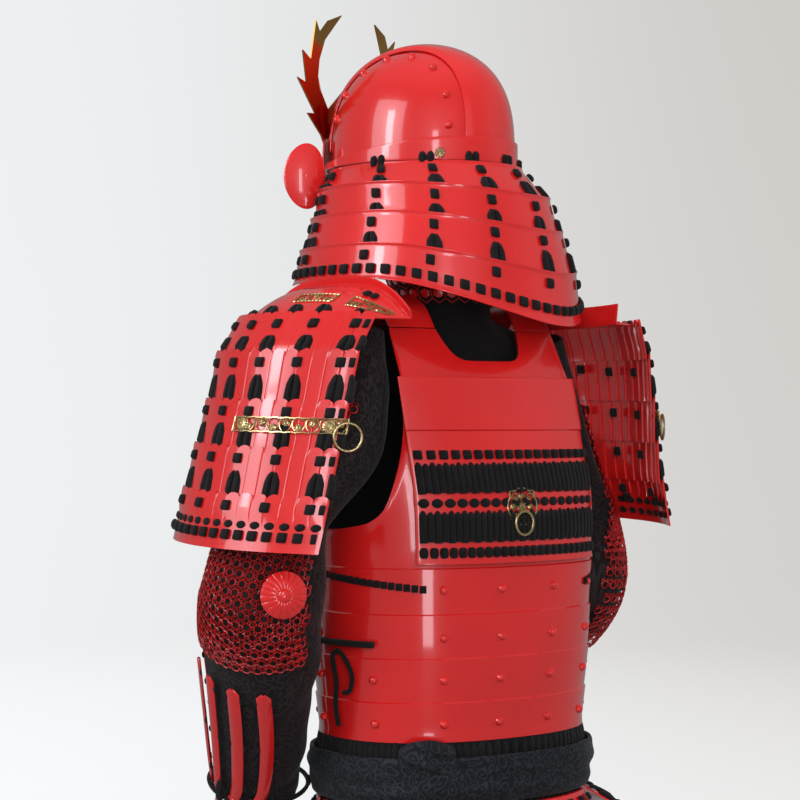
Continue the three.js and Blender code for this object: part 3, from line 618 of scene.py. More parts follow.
def lace_pair(width, length, thick, apart):
    """Two laces side by side that meet in one hole, as (shift, template) pairs."""
    return [(side * apart, lace(width, length, thick, lean=-side * apart * 0.55)) for side in (-1, 1)]


# ------------------------------------------------------------------- materials
def colour(red, green, blue):
    """A display colour as the renderer's own light values."""
    return tuple(c / 12.92 if c <= 0.04045 else ((c + 0.055) / 1.055) ** 2.4
                 for c in (red, green, blue)) + (1.0,)


def node_group(name, inputs, outputs):
    group = bpy.data.node_groups.new(name, "ShaderNodeTree")
    for label, kind, default in inputs:
        socket = group.interface.new_socket(name=label, in_out="INPUT", socket_type=kind)
        if default is not None:
            socket.default_value = default
    for label, kind in outputs:
        group.interface.new_socket(name=label, in_out="OUTPUT", socket_type=kind)
    start = group.nodes.new("NodeGroupInput")
    end = group.nodes.new("NodeGroupOutput")
    return group, start, end


def tinted_relief():
    """Slow colour drift and fine unevenness shared by the lacquer, metal and cloth."""
    group, start, end = node_group(
        "Tinted Relief",
        [("Vector", "NodeSocketVector", None), ("Drift Scale", "NodeSocketFloat", 8.0),
         ("Grain Scale", "NodeSocketFloat", 300.0), ("Grain", "NodeSocketFloat", 0.3),
         ("First", "NodeSocketColor", (0.5, 0.0, 0.0, 1)), ("Second", "NodeSocketColor", (0.6, 0.0, 0.0, 1)),
         ("Smoothest", "NodeSocketFloat", 0.1), ("Roughest", "NodeSocketFloat", 0.2)],
        [("Color", "NodeSocketColor"), ("Roughness", "NodeSocketFloat"), ("Height", "NodeSocketFloat")],
    )
    link = group.links.new
    drift = group.nodes.new("ShaderNodeTexNoise")
    drift.inputs["Detail"].default_value = 3
    grain = group.nodes.new("ShaderNodeTexNoise")
    grain.inputs["Detail"].default_value = 2
    for noise, scale in ((drift, "Drift Scale"), (grain, "Grain Scale")):
        link(start.outputs["Vector"], noise.inputs["Vector"])
        link(start.outputs[scale], noise.inputs["Scale"])
    tint = group.nodes.new("ShaderNodeMix")
    tint.data_type = "RGBA"
    spread_out = group.nodes.new("ShaderNodeMapRange")
    spread_out.inputs["From Min"].default_value = 0.3
    spread_out.inputs["From Max"].default_value = 0.7
    link(drift.outputs["Fac"], spread_out.inputs["Value"])
    link(spread_out.outputs["Result"], tint.inputs[0])
    link(start.outputs["First"], tint.inputs[6])
    link(start.outputs["Second"], tint.inputs[7])
    link(tint.outputs[2], end.inputs["Color"])
    rough = group.nodes.new("ShaderNodeMapRange")
    link(grain.outputs["Fac"], rough.inputs["Value"])
    link(start.outputs["Smoothest"], rough.inputs["To Min"])
    link(start.outputs["Roughest"], rough.inputs["To Max"])
    link(rough.outputs["Result"], end.inputs["Roughness"])
    height = group.nodes.new("ShaderNodeMath")
    height.operation = "MULTIPLY"
    link(grain.outputs["Fac"], height.inputs[0])
    link(start.outputs["Grain"], height.inputs[1])
    link(height.outputs[0], end.inputs["Height"])
    return group


def plait():
    """Raised diagonal threads of a plaited lace or a twill, from a map in metres."""
    group, start, end = node_group(
        "Plait",
        [("Vector", "NodeSocketVector", None), ("Threads", "NodeSocketFloat", 900.0),
         ("Slant", "NodeSocketFloat", 1.0)],
        [("Height", "NodeSocketFloat")],
    )
    link = group.links.new
    parts = group.nodes.new("ShaderNodeSeparateXYZ")
    link(start.outputs["Vector"], parts.inputs[0])

    def maths(operation, first, second=None):
        node = group.nodes.new("ShaderNodeMath")
        node.operation = operation
        for socket, value in zip(node.inputs, (first, second)):
            if isinstance(value, (int, float)):
                socket.default_value = value
            elif value is not None:
                link(value, socket)
        return node.outputs[0]

    along = maths("MULTIPLY", parts.outputs["Y"], start.outputs["Threads"])
    across = maths("MULTIPLY", parts.outputs["X"], start.outputs["Threads"])
    leaning = maths("MULTIPLY", maths("ABSOLUTE", across), start.outputs["Slant"])
    waves = maths("SINE", maths("ADD", along, leaning))
    threads = maths("SINE", maths("MULTIPLY", across, 2.0))
    total = maths("ADD", maths("MULTIPLY", waves, 0.6), maths("MULTIPLY", threads, 0.4))
    link(total, end.inputs["Height"])
    return group


def new_material(name, roughness=0.5, metallic=0.0, **constants):
    material = bpy.data.materials.new(name)
    material.use_nodes = True
    shader = material.node_tree.nodes["Principled BSDF"]
    shader.inputs["Roughness"].default_value = roughness
    shader.inputs["Metallic"].default_value = metallic
    for socket, value in constants.items():
        shader.inputs[socket.replace("_", " ")].default_value = value
    return material, material.node_tree.nodes, material.node_tree.links.new, shader


def add_bump(nodes, link, shader, height, strength, distance, under=None):
    bump = nodes.new("ShaderNodeBump")
    bump.inputs["Strength"].default_value = strength
    bump.inputs["Distance"].default_value = distance
    link(height, bump.inputs["Height"])
    if under is not None:
        link(under, bump.inputs["Normal"])
    link(bump.outputs["Normal"], shader.inputs["Normal"])
    return bump.outputs["Normal"]


GROUPS = {}
PAINT = {}


def relief_node(nodes, link, vector, first, second, drift, grain, amount, smoothest, roughest):
    relief = nodes.new("ShaderNodeGroup")
    relief.node_tree = GROUPS["relief"]
    link(vector, relief.inputs["Vector"])
    for socket, value in (("First", first), ("Second", second), ("Drift Scale", drift),
                          ("Grain Scale", grain), ("Grain", amount), ("Smoothest", smoothest),
                          ("Roughest", roughest)):
        relief.inputs[socket].default_value = value
    return relief


def surface_material(name, first, second, drift=6.0, grain=60.0, amount=1.0, smoothest=0.08,
                     roughest=0.16, strength=0.05, distance=0.002, metallic=0.0, **constants):
    material, nodes, link, shader = new_material(name, metallic=metallic, **constants)
    where = nodes.new("ShaderNodeTexCoord").outputs["Object"]
    relief = relief_node(nodes, link, where, first, second, drift, grain, amount, smoothest, roughest)
    link(relief.outputs["Color"], shader.inputs["Base Color"])
    link(relief.outputs["Roughness"], shader.inputs["Roughness"])
    add_bump(nodes, link, shader, relief.outputs["Height"], strength, distance)
    return material


def thread_material(name, first, second, threads, slant, strength, smoothest=0.6, roughest=0.85,
                    distance=0.0004, **constants):
    material, nodes, link, shader = new_material(name, **constants)
    place = nodes.new("ShaderNodeTexCoord")
    relief = relief_node(nodes, link, place.outputs["Object"], first, second, 40.0, 900.0, 0.4,
                         smoothest, roughest)
    weave = nodes.new("ShaderNodeGroup")
    weave.node_tree = GROUPS["plait"]
    link(place.outputs["UV"], weave.inputs["Vector"])
    weave.inputs["Threads"].default_value = threads
    weave.inputs["Slant"].default_value = slant
    link(relief.outputs["Color"], shader.inputs["Base Color"])
    link(relief.outputs["Roughness"], shader.inputs["Roughness"])
    under = add_bump(nodes, link, shader, relief.outputs["Height"], 0.3, distance)
    add_bump(nodes, link, shader, weave.outputs["Height"], strength, distance, under)
    return material


def brocade_material(name, dark, light, size):
    """Black cloth with a woven tone-on-tone flower figure."""
    material, nodes, link, shader = new_material(name, Sheen_Weight=0.06, Sheen_Roughness=0.4,
                                                 Specular_IOR_Level=0.3)
    place = nodes.new("ShaderNodeTexCoord").outputs["UV"]
    warp = nodes.new("ShaderNodeTexNoise")
    warp.inputs["Scale"].default_value = 30
    link(place, warp.inputs["Vector"])
    bend = nodes.new("ShaderNodeMix")
    bend.data_type = "VECTOR"
    bend.inputs[0].default_value = 0.02
    link(place, bend.inputs[4])
    link(warp.outputs["Color"], bend.inputs[5])
    petals = nodes.new("ShaderNodeTexVoronoi")
    petals.feature = "SMOOTH_F1"
    petals.inputs["Scale"].default_value = size
    petals.inputs["Smoothness"].default_value = 0.3
    link(bend.outputs[1], petals.inputs["Vector"])
    rings = nodes.new("ShaderNodeMath")
    rings.operation = "SINE"
    more = nodes.new("ShaderNodeMath")
    more.operation = "MULTIPLY"
    more.inputs[1].default_value = 16
    link(petals.outputs["Distance"], more.inputs[0])
    link(more.outputs[0], rings.inputs[0])
    figure = nodes.new("ShaderNodeMapRange")
    figure.inputs["From Min"].default_value = 0.1
    figure.inputs["From Max"].default_value = 0.5
    link(rings.outputs[0], figure.inputs["Value"])
    tint = nodes.new("ShaderNodeMix")
    tint.data_type = "RGBA"
    tint.inputs[6].default_value = dark
    tint.inputs[7].default_value = light
    link(figure.outputs["Result"], tint.inputs[0])
    link(tint.outputs[2], shader.inputs["Base Color"])
    gloss = nodes.new("ShaderNodeMapRange")
    gloss.inputs["To Min"].default_value = 0.8
    gloss.inputs["To Max"].default_value = 0.66
    link(figure.outputs["Result"], gloss.inputs["Value"])
    link(gloss.outputs["Result"], shader.inputs["Roughness"])
    weave = nodes.new("ShaderNodeGroup")
    weave.node_tree = GROUPS["plait"]
    link(place, weave.inputs["Vector"])
    weave.inputs["Threads"].default_value = 5000
    weave.inputs["Slant"].default_value = 0.6
    under = add_bump(nodes, link, shader, weave.outputs["Height"], 0.25, 0.0002)
    add_bump(nodes, link, shader, figure.outputs["Result"], 0.15, 0.0003, under)
    return material


def floor_material():
    """Pale matt ground that glows a little, with painted window light: brighter and cooler on the window's side of the
    room, dimmer and warmer away from it.
    """
    material, nodes, link, shader = new_material(
        "Pale Floor with Painted Light", roughness=0.9, Base_Color=(0.22, 0.22, 0.22, 1), Emission_Strength=1.0)
    across = nodes.new("ShaderNodeVectorMath")
    across.operation = "DOT_PRODUCT"
    across.inputs[1].default_value = CAMERA_RIGHT
    link(nodes.new("ShaderNodeTexCoord").outputs["Object"], across.inputs[0])
    side = nodes.new("ShaderNodeMapRange")
    side.interpolation_type = "SMOOTHSTEP"
    side.inputs["From Min"].default_value = -1.6
    side.inputs["From Max"].default_value = 1.6
    link(across.outputs["Value"], side.inputs["Value"])
    # painted light: the glow colour runs from cool and bright on the window's side to warm and dim on the far side
    tint = nodes.new("ShaderNodeMix")
    tint.data_type = "RGBA"
    tint.inputs[6].default_value = (0.76, 0.78, 0.79, 1)
    tint.inputs[7].default_value = (0.54, 0.52, 0.49, 1)
    link(side.outputs["Result"], tint.inputs[0])
    link(tint.outputs[2], shader.inputs["Emission Color"])
    return material


def mix_paints():
    GROUPS["relief"] = tinted_relief()
    GROUPS["plait"] = plait()
    settings = bpy.context.scene.armour
    red = tuple(settings.lacquer) + (1.0,)
    deep = tuple(c * 0.82 for c in settings.lacquer) + (1.0,)
    black = tuple(settings.braid) + (1.0,)
    soot = tuple(c * 0.6 for c in settings.braid) + (1.0,)
    gold = tuple(settings.gilt) + (1.0,)
    PAINT["lacquer"] = surface_material(
        "Red Lacquer", red, deep, drift=5, grain=28, amount=1.0, smoothest=0.2, roughest=0.3,
        strength=0.04, distance=0.003, Coat_Weight=1.0, Coat_Roughness=0.06, Coat_IOR=1.5)
    PAINT["stud"] = surface_material(
        "Red Lacquer on Rivets", red, deep, drift=30, grain=200, smoothest=0.12, roughest=0.2,
        strength=0.03, distance=0.001, Coat_Weight=1.0, Coat_Roughness=0.05)
    PAINT["braid"] = thread_material(
        "Black Braid", black, soot, 3600, 1.0, 0.55, Sheen_Weight=0.04, Sheen_Roughness=0.5,
        Specular_IOR_Level=0.25)
    PAINT["cloth"] = brocade_material("Black Brocade", colour(0.085, 0.07, 0.07),
                                      colour(0.15, 0.12, 0.12), 90)
    PAINT["belt"] = brocade_material("Belt Brocade", colour(0.075, 0.08, 0.09),
                                     colour(0.13, 0.14, 0.16), 110)
    PAINT["plain"] = thread_material(
        "Plain Black Cloth", colour(0.06, 0.06, 0.065), colour(0.04, 0.04, 0.045), 5200, 0.5, 0.4,
        Sheen_Weight=0.05, Sheen_Roughness=0.45, Specular_IOR_Level=0.25)
    PAINT["stitch"] = thread_material(
        "Red Stitching", colour(0.72, 0.1, 0.1), colour(0.55, 0.05, 0.05), 5000, 1.0, 0.4)
    PAINT["gilt"] = surface_material(
        "Gilt Openwork", gold, tuple(c * 0.75 for c in settings.gilt) + (1.0,), drift=60, grain=420,
        smoothest=0.18, roughest=0.34, strength=0.25, distance=0.0006, metallic=1.0)
    PAINT["brass"] = surface_material(
        "Polished Brass", colour(0.80, 0.62, 0.34), colour(0.68, 0.48, 0.24), drift=12, grain=70,
        smoothest=0.06, roughest=0.14, strength=0.04, distance=0.001, metallic=1.0)
    PAINT["steel"] = surface_material(
        "Lace Tips", colour(0.5, 0.5, 0.52), colour(0.4, 0.4, 0.42), drift=60, grain=300,
        smoothest=0.25, roughest=0.4, metallic=1.0)
    PAINT["mail"] = surface_material(
        "Painted Mail", colour(0.70, 0.08, 0.08), colour(0.52, 0.04, 0.04), drift=60, grain=500,
        smoothest=0.3, roughest=0.5, strength=0.2, distance=0.0004, Coat_Weight=0.3, Coat_Roughness=0.2)
    PAINT["floor"] = floor_material()


# -------------------------------------------------------------------- settings
class ArmourSettings(bpy.types.PropertyGroup):
    lacquer: bpy.props.FloatVectorProperty(
        name="Lacquer", description="Colour of the lacquered plates", subtype="COLOR",
        default=(0.68, 0.012, 0.011), min=0, max=1)
    braid: bpy.props.FloatVectorProperty(
        name="Braid", description="Colour of the laces and knots", subtype="COLOR",
        default=(0.0085, 0.007, 0.007), min=0, max=1)
    gilt: bpy.props.FloatVectorProperty(
        name="Gilt", description="Colour of the gilt fittings", subtype="COLOR",
        default=(0.80, 0.62, 0.30), min=0, max=1)
    lace_width: bpy.props.FloatProperty(
        name="Lace width", description="Width of one plaited lace, in millimetres",
        default=9.2, min=4, max=12)
    knot_size: bpy.props.FloatProperty(
        name="Knot size", description="Width of a crossed knot, in millimetres",
        default=13.2, min=6, max=18)
    rivet_radius: bpy.props.FloatProperty(
        name="Rivet radius", description="Radius of a domed rivet, in millimetres",
        default=5.2, min=2, max=8)
    ring_pitch: bpy.props.FloatProperty(
        name="Mail pitch", description="Distance between mail rings, in millimetres",
        default=11.5, min=8, max=20)


def wall_piece(name, at, columns, rows, material, slot, *nodes, out=1, thickness=PLATE, edge=0.5,
               ring=False, us=None, vs=None, angle=38):
    obj = bent_grid(name, at, columns, rows, out=out, ring=ring, us=us, vs=vs)
    thicken(obj, thickness, edge)
    return finish(obj, PAINT[material], slot, *nodes, angle=angle)


# ---------------------------------------------------------------------- helmet
def bowl_side(side):
    def at(u, v):
        inner = RIDGE["crown"] - RIDGE["lap"]
        first = math.asin(inner) + 0.02
        angle = mix(first, math.pi - first, u)
        edge = inner / math.sin(angle)
        top = max(0.0, 1 - edge * edge) ** (1 / 3)
        return bowl_point(side * angle, mix(top, 0, v))
    return at


def ridge_half(along):
    """Half width of the centre plate over the bowl's, at an angle over the crown."""
    return mix(RIDGE["crown"], RIDGE["base"], math.cos(along) ** 2)


def bowl_arch(along, side, grow=1.0):
    """The bowl at an angle from the back over the crown, and a share of its half width."""
    reach = math.sqrt(1 - side * side)
    share = (reach * math.sin(along)) ** (2 / 3)
    return head_point(BOWL["length"] * grow * reach * math.cos(along) + BOWL["lean"] * share * share,
                      BOWL["width"] * grow * side, BOWL["base"] + BOWL["height"] * grow * share)


def bowl_ridge(u, v):
    along = mix(0.02, 0.98, v) * math.pi
    half = ridge_half(along)
    rise = mix(0.5, PLATE + GAP, smooth(min(u, 1 - u) / 0.08))
    return bowl_arch(along, mix(half, -half, u), 1 + rise / BOWL["width"])


def band_point(u, v, lift=0.0):
    angle = u * 2 * math.pi
    top = mix(BAND["front"], BAND["back"], smooth((math.cos(angle) + 1) / 2))
    z = mix(top, BAND["bottom"], v)
    point = bowl_point(angle, max(0.0, (z - BOWL["base"]) / BOWL["height"]), BAND["lift"] + lift)
    point.z = z
    return point


def brow_point(u, v):
    angle = math.radians(180 + mix(-BROW["spread"], BROW["spread"], u))
    tuck, flare = min(1.0, v / 0.5), clamp01((v - 0.5) / 0.5)
    peak = 1 - (2 * u - 1) ** 4
    z = mix(BROW["top"] - 10 * (1 - peak), BROW["bottom"], tuck) - BROW["drop"] * flare
    out = BROW["lift"] + BROW["reach"] * flare * mix(0.25, 1, peak)
    point = bowl_point(angle, max(0.0, (z - BOWL["base"]) / BOWL["height"]), out)
    point.z = z
    return point


def ear_point(side):
    def at(u, v):
        angle = 2 * math.pi * u
        radius = mix(0.002, 1, v)
        across = EAR["width"] * radius * math.cos(angle)
        rise = EAR["height"] * radius * math.sin(angle) * (1 - 0.12 * radius * math.cos(angle))
        bow = 5 * (1 - radius * radius)
        return head_point(-EAR["forward"] - across * 0.74 + bow * 0.68,
                          side * (EAR["side"] + across * 0.68 + bow * 0.74), EAR["z"] + rise)
    return at


class ARMOUR_OT_helmet(bpy.types.Operator):
    """Bowl, centre plate, rivets, band, brow plate and ears"""
    bl_idname = "armour.helmet"
    bl_label = "Helmet"

    def execute(self, context):
        settings = context.scene.armour
        rows = [k / 22 for k in range(23)]
        for side, name in ((1, "left"), (-1, "right")):
            at = bowl_side(side)
            wall_piece(f"bowl_plate_{name}", at, 56, 22, "lacquer", "lacquer", f"bowl_{name}",
                       out=side, vs=rows)
        wall_piece("bowl_centre_plate", bowl_ridge, 24, 80, "lacquer", "lacquer", "bowl_centre",
                   out=-1, edge=0.5, us=[0, 0.02, 0.04, 0.06, 0.085, *spread(0.12, 0.88, 15), 0.915, 0.94,
                                         0.96, 0.98, 1])
        studs = Pile()
        stud = dome(settings.rivet_radius, 5.0, 14, 4)
        skin = Skin(bowl_arch, du=0.01, dv=0.01, up=1, hand=1)
        for angle in (11, 30, 56, 79, 101, 122, 143, 160):
            along = math.radians(angle)
            for side, apart in ((1, 0.15), (-1, 0.07)):
                studs.lay(skin, along, side * (ridge_half(along) + apart), stud)
        finish(studs.mesh("bowl_rivets"), PAINT["stud"], "lacquer")
        wall_piece("base_band", band_point, 96, 6, "lacquer", "lacquer", "helmet_band",
                   ring=True, edge=0.6)
        wall_piece("brow_peak", brow_point, 40, 16, "lacquer", "lacquer", "brow_plate", edge=0.6)
        for side, name in ((1, "left"), (-1, "right")):
            wall_piece(f"ear_disc_{name}", ear_point(side), 48, 10, "lacquer", "lacquer",
                       f"ear_{name}", out=-side, ring=True, edge=0.6)
        badges = Pile()
        skin = Skin(band_point, du=0.004, dv=0.05, up=-1)
        for degrees in (-50, 50):
            flower(badges, skin, degrees / 360, 0.7, 6.5)
        finish(badges.mesh("band_flowers"), PAINT["gilt"], "gilt")
        crest = bpy.data.objects["antler_crest"]
        for entry in crest.material_slots:
            entry.material = PAINT["brass"]
        return {"FINISHED"}


def flower(pile, skin, u, v, radius, petals=16, lift=0.0):
    """A small many-petalled flower boss."""
    pile.lay(skin, u, v, dome(radius * 0.98, 1.2, 16, 2), lift=lift)
    petal = dome(radius * 0.16, 1.1, 6, 2)
    for k in range(petals):
        angle = 2 * math.pi * k / petals
        shifted = [(x * 1.9 + radius * 0.68, y * 0.95, h + 1.0 + lift) for x, y, h in petal[0]]
        pile.lay(skin, u, v, (shifted, petal[1]), turn=angle)
    pile.lay(skin, u, v, dome(radius * 0.3, 2.4, 10, 2), lift=lift + 0.6)


def neck_columns(lame):
    """Angles of the knot columns on a lame, which drift round the head as they go down."""
    return [column + (1.5 + 2.6 * lame) * clamp01((125 - column) / 125) for column in NECK_COLUMNS]


class ARMOUR_OT_neck_guard(bpy.types.Operator):
    """Four laced lames behind the neck, with their knots"""
    bl_idname = "armour.neck_guard"
    bl_label = "Neck guard"

    def execute(self, context):
        settings = context.scene.armour
        knots, laces = Pile(), Pile()
        knot = cushion(settings.knot_size * 0.96, settings.knot_size + 1, 5.6, 0.2, cross=0.22)
        small = cushion(settings.knot_size * 0.62, settings.knot_size + 1, 4.8, 0.2, cross=0.12)
        for index in range(4):
            skin = neck_skin(index)
            last = index == 3
            foot = 1.0 if last else 1.0 + 8 / 44

            def at(u, v, skin=skin, foot=foot, last=last):
                degrees = mix(-NECK_END, NECK_END, u)
                lip = 1.8 * math.exp(-((v * 44 / 2.2) ** 2))
                hem = 1.2 * math.exp(-(((1 - v) * 60 / 3.0) ** 2)) if last else 0.0
                return skin.at(degrees, v * foot) + skin.normal(degrees, min(v * foot, 0.98)) * (lip + hem)
            rows = [0, 0.02, 0.04, 0.065, 0.1, 0.15, 0.25, 0.4, 0.55, 0.7, 0.85, 0.93, 0.97, 1.0]
            wall_piece(f"neck_plate_{index + 1}", at, 110, len(rows) - 1, "lacquer", "lacquer",
                       f"neck_lame_{index + 1}", vs=rows, edge=0.5)
            for column in neck_columns(index):
                fall = (skin.at(column, 1) - skin.at(column, 0)).length
                knots.lay(skin, column, 14 / fall, knot)
                if abs(column) > 115:
                    ahead = column + math.copysign(8.5, column)
                    knots.lay(skin, ahead, 14 / fall, small)
                if not last:
                    drop = fall - 25
                    per_degree = skin.directions(column, 0.5)[0].length
                    for shift, ribbon in lace_pair(settings.lace_width, drop + 6, 5.2, 4.3):
                        laces.lay(skin, column + shift / per_degree, 25 / fall, ribbon)
                    if abs(column) > 115:
                        ahead = column + math.copysign(8.5, column)
                        laces.lay(skin, ahead, 25 / fall, ribbon)
        skin = neck_skin(3)
        fall = (skin.at(0, 1) - skin.at(0, 0)).length
        rim = cushion(settings.knot_size + 0.8, settings.knot_size + 0.8, 5.6, 0.2, cross=0.22)
        for degrees in spread(-134, 134, 45):
            knots.lay(skin, degrees, 1 - 17 / fall, rim)
        for side in (-1, 1):
            knots.lay(skin, side * 139, 1 - 17 / fall, small)
        # laces from the band down behind the first lame's edge
        band = Skin(lambda degrees, v: band_point(degrees / 360, v), du=1, dv=0.05, up=-1)
        hanging = lace(settings.lace_width, 14, 5.0)
        for column in neck_columns(0)[1:-1]:
            for side in (-2.3, 2.3):
                laces.lay(band, column + side, 0.62, hanging)
        finish(knots.mesh("neck_knots"), PAINT["braid"], "braid")
        finish(laces.mesh("neck_laces"), PAINT["braid"], "braid")
        return {"FINISHED"}


# ---------------------------------------------------------------------- collar
def yoke_point(u, v):
    angle = u * 2 * math.pi
    turned = 0.25
    _, y, half, depth = COLLAR[1]

    def ring(grow, z):
        return Vector(((half + grow) * math.sin(angle), y + (depth + grow) * math.cos(angle), z))
    start = ring(-CLOTH - 1.5, COLLAR[1][0] + 2)
    below = ring(-CLOTH - 1, COLLAR[1][0] - CLOTH - 8)
    fall = math.cos(angle) ** 2
    end = Vector((98 * math.sin(angle), y + 74 * math.cos(angle), -34 - 78 * fall))
    if v < turned:
        return start.lerp(below, v / turned)
    t = (v - turned) / (1 - turned)
    crease = 1.6 * math.sin(9 * angle + 4 * t) * math.sin(math.pi * t) * (0.5 + 0.5 * math.sin(2 * angle))
    return below.lerp(end, t) + Vector((0, 0, crease))


class ARMOUR_OT_collar(bpy.types.Operator):
    """Standing collar with its red hexagons, and the cloth yoke under the straps"""
    bl_idname = "armour.collar"
    bl_label = "Collar"

    def execute(self, context):
        skin = collar_skin()

        def at(u, v):
            degrees = mix(-COLLAR_OPENING, COLLAR_OPENING, u)
            quilt = 0.7 * math.sin(degrees * 0.55) * math.sin(v * 9)
            return skin.at(degrees, v) + skin.normal(degrees, clamp01(v)) * quilt
        collar = wall_piece("standing_collar", at, 96, 14, "plain", "cloth", "collar",
                            thickness=CLOTH, edge=0.8)
        yoke = wall_piece("yoke", yoke_point, 96, 20, "plain", "cloth", "yoke_cloth",
                          thickness=CLOTH, ring=True, edge=0.8)
        seams, plates = Pile(), Pile()
        cell = 19.0
        corners = [(cell / math.sqrt(3) * math.sin(math.radians(60 * k)),
                    cell / math.sqrt(3) * math.cos(math.radians(60 * k))) for k in range(7)]
        step = cell / math.sqrt(3) * 1.5
        tile = hexagon(6.0, 1.3)
        for row in range(4):
            for k in range(-12, 13):
                x = (k + 0.5 * (row % 2)) * cell
                y = 8 + row * step
                for (x0, y0), (x1, y1) in zip(corners[:3], corners[1:4]):
                    line = skin.laid(0, 0, [(x + mix(x0, x1, t), -(y + mix(y0, y1, t)), 1.2)
                                            for t in (0, 0.34, 0.67, 1)])
                    if all(inside_collar(point) for point in line):
                        add_tube(seams, line, 0.8, 5)
                spot = skin.laid(0, 0, [(x, -y, 0)])[0]
                if row < 3 and inside_collar(spot):
                    per_degree = skin.directions(0, 0)[0].length
                    fall = skin.directions(0, 0)[1].length
                    plates.lay(skin, x / per_degree, y / fall, tile)
        finish(seams.mesh("collar_stitching"), PAINT["stitch"], "lacquer")
        finish(plates.mesh("collar_hexagons"), PAINT["stud"], "lacquer")
        return {"FINISHED"}


def inside_collar(point):
    return COLLAR[1][0] + 1 < point.z < COLLAR[0][0] - 1 and point.y > -70


def hexagon(radius, height):
    points = [(radius * f * math.sin(math.radians(60 * k)), radius * f * math.cos(math.radians(60 * k)), h)
              for f, h in ((1, -0.4), (1, height * 0.6), (0.8, height)) for k in range(6)]
    faces = [tuple(12 + k for k in range(6))[::-1], tuple(range(6))]
    for ring in (0, 6):
        for k in range(6):
            n = (k + 1) % 6
            faces.append((ring + k, ring + 6 + k, ring + 6 + n, ring + n))
    return points, faces


# --------------------------------------------------------------------- cuirass
def top_edge(side, neckline):
    inner = torso_angle(STRAP["inner"], STRAP["bottom"])
    outer = torso_angle(STRAP["outer"], STRAP["bottom"])
    if side <= inner:
        return mix(neckline, STRAP["bottom"], (side / inner) ** 6)
    if side <= outer:
        return STRAP["bottom"]
    return eased(ARMHOLE, max(side, ARMHOLE[0][0]))


def cuirass_grid(name, neckline, span, centre, grow=0.0):
    inner = torso_angle(STRAP["inner"], STRAP["bottom"])
    outer = torso_angle(STRAP["outer"], STRAP["bottom"])
    sides = [*spread(0, inner, 12), *spread(inner, outer, 7)[1:], ARMHOLE[0][0],
             *[39.8, 40.3, 40.9, 41.6, 42.5, 43.5], *spread(45, span, 24)]
    angles = [*[-side for side in reversed(sides[1:])], *sides]
    tops = [0, 0.03, 0.08, 0.16, 0.26, 0.36, 0.46, 0.56, 0.66, 0.76, 0.86, 0.94]
    heights = [("upper", t) for t in tops]
    lines = [LAME_LINES[0] + 4, *LAME_LINES, CUIRASS_BOTTOM]
    for high, low in zip(lines[1:], lines[2:]):
        heights += [("edge", high, 0.9), ("edge", high, -0.5)]
        heights += [("body", high, low, t) for t in (0.2, 0.5, 0.8)]
    heights.append(("edge", CUIRASS_BOTTOM, 0.0))

    def at(u, v):
        angle = angles[round(u * (len(angles) - 1))]
        row = heights[round(v * (len(heights) - 1))]
        side = abs(angle)
        if row[0] == "upper":
            top = top_edge(side, neckline)
            z = mix(top, LAME_LINES[0] + 4, row[1])
            roll = 2.2 * math.exp(-((top - z) / 4.0) ** 2) if side > outer else 0.0
            return torso_point(centre + angle, z, roll + grow)
        if row[0] == "edge":
            above = row[2] > 0 and row[1] != CUIRASS_BOTTOM
            return torso_point(centre + angle, row[1] + row[2], grow + (0.0 if above else 1.5))
        _, high, low, t = row
        return torso_point(centre + angle, mix(high, low, t), grow + 1.5 * (1 - t))
    return bent_grid(name, at, len(angles) - 1, len(heights) - 1)


def strap_point(side):
    def at(u, v):
        x = mix(STRAP["inner"], STRAP["outer"], u)
        factor = (1 - (x / 170) ** TORSO_POWER) ** (1 / TORSO_POWER)
        y = eased([(row[0], row[1]) for row in STRAP_PATH], v)
        z = eased([(row[0], row[2]) for row in STRAP_PATH[:3]], v) if v <= 0.5 else \
            eased([(row[0], row[2]) for row in STRAP_PATH[2:]], v)
        return Vector((side * x, y * factor, z - STRAP["slope"] * u * math.sin(math.pi * v)))
    return at


def panel_point(u, v, lift=0.0):
    z = mix(PANEL["top"], PANEL["bottom"], v)
    x = mix(-PANEL["half"], PANEL["half"], u)
    return torso_point(torso_angle(x, z), z, lift)


class ARMOUR_OT_cuirass(bpy.types.Operator):
    """Back and front plates, shoulder straps, rivets and the side knots"""
    bl_idname = "armour.cuirass"
    bl_label = "Cuirass"

    def execute(self, context):
        settings = context.scene.armour
        for name, centre in (("back", 0), ("front", 180)):
            obj = cuirass_grid(f"{name}_plates", NECKLINE[name], CUIRASS_SPAN[name], centre)
            thicken(obj, PLATE, 0.4)
            finish(obj, PAINT["lacquer"], "lacquer", f"cuirass_{name}", angle=30)
            lining = cuirass_grid(f"{name}_lining", NECKLINE[name] - 4, CUIRASS_SPAN[name], centre,
                                  -PLATE - 1.8)
            thicken(lining, THIN, 0)
            finish(lining, PAINT["plain"], "cloth")
        for side, name in ((1, "left"), (-1, "right")):
            wall_piece(f"{name}_strap", strap_point(side), 12, 40, "lacquer", "lacquer",
                       f"strap_{name}", out=side, edge=0.7)
        studs, knots = Pile(), Pile()
        stud = dome(settings.rivet_radius, 4.8, 14, 4)
        columns = [64, 30, 6, -14.5, -42, -70, 100, 128, 152, 172, -172, -150, -126, -100]
        for index, z in enumerate((-322, -374, -420, -468)):
            for column in columns:
                if column == 64 and index < 2:
                    continue
                studs.lay(TORSO_SKIN, column, z, stud, lift=0.8)
        finish(studs.mesh("cuirass_rivets"), PAINT["stud"], "lacquer")
        knot = cushion(9.5, 10.5, 3.6, 0.22, cross=0.2)
        for side in (1, -1):
            for k in range(15):
                degrees = mix(39, 90, k / 14)
                z = mix(-321, -308, k / 14)
                knots.lay(TORSO_SKIN, side * degrees, z, knot, lift=1.0)
        finish(knots.mesh("side_knots"), PAINT["braid"], "braid")
        return {"FINISHED"}


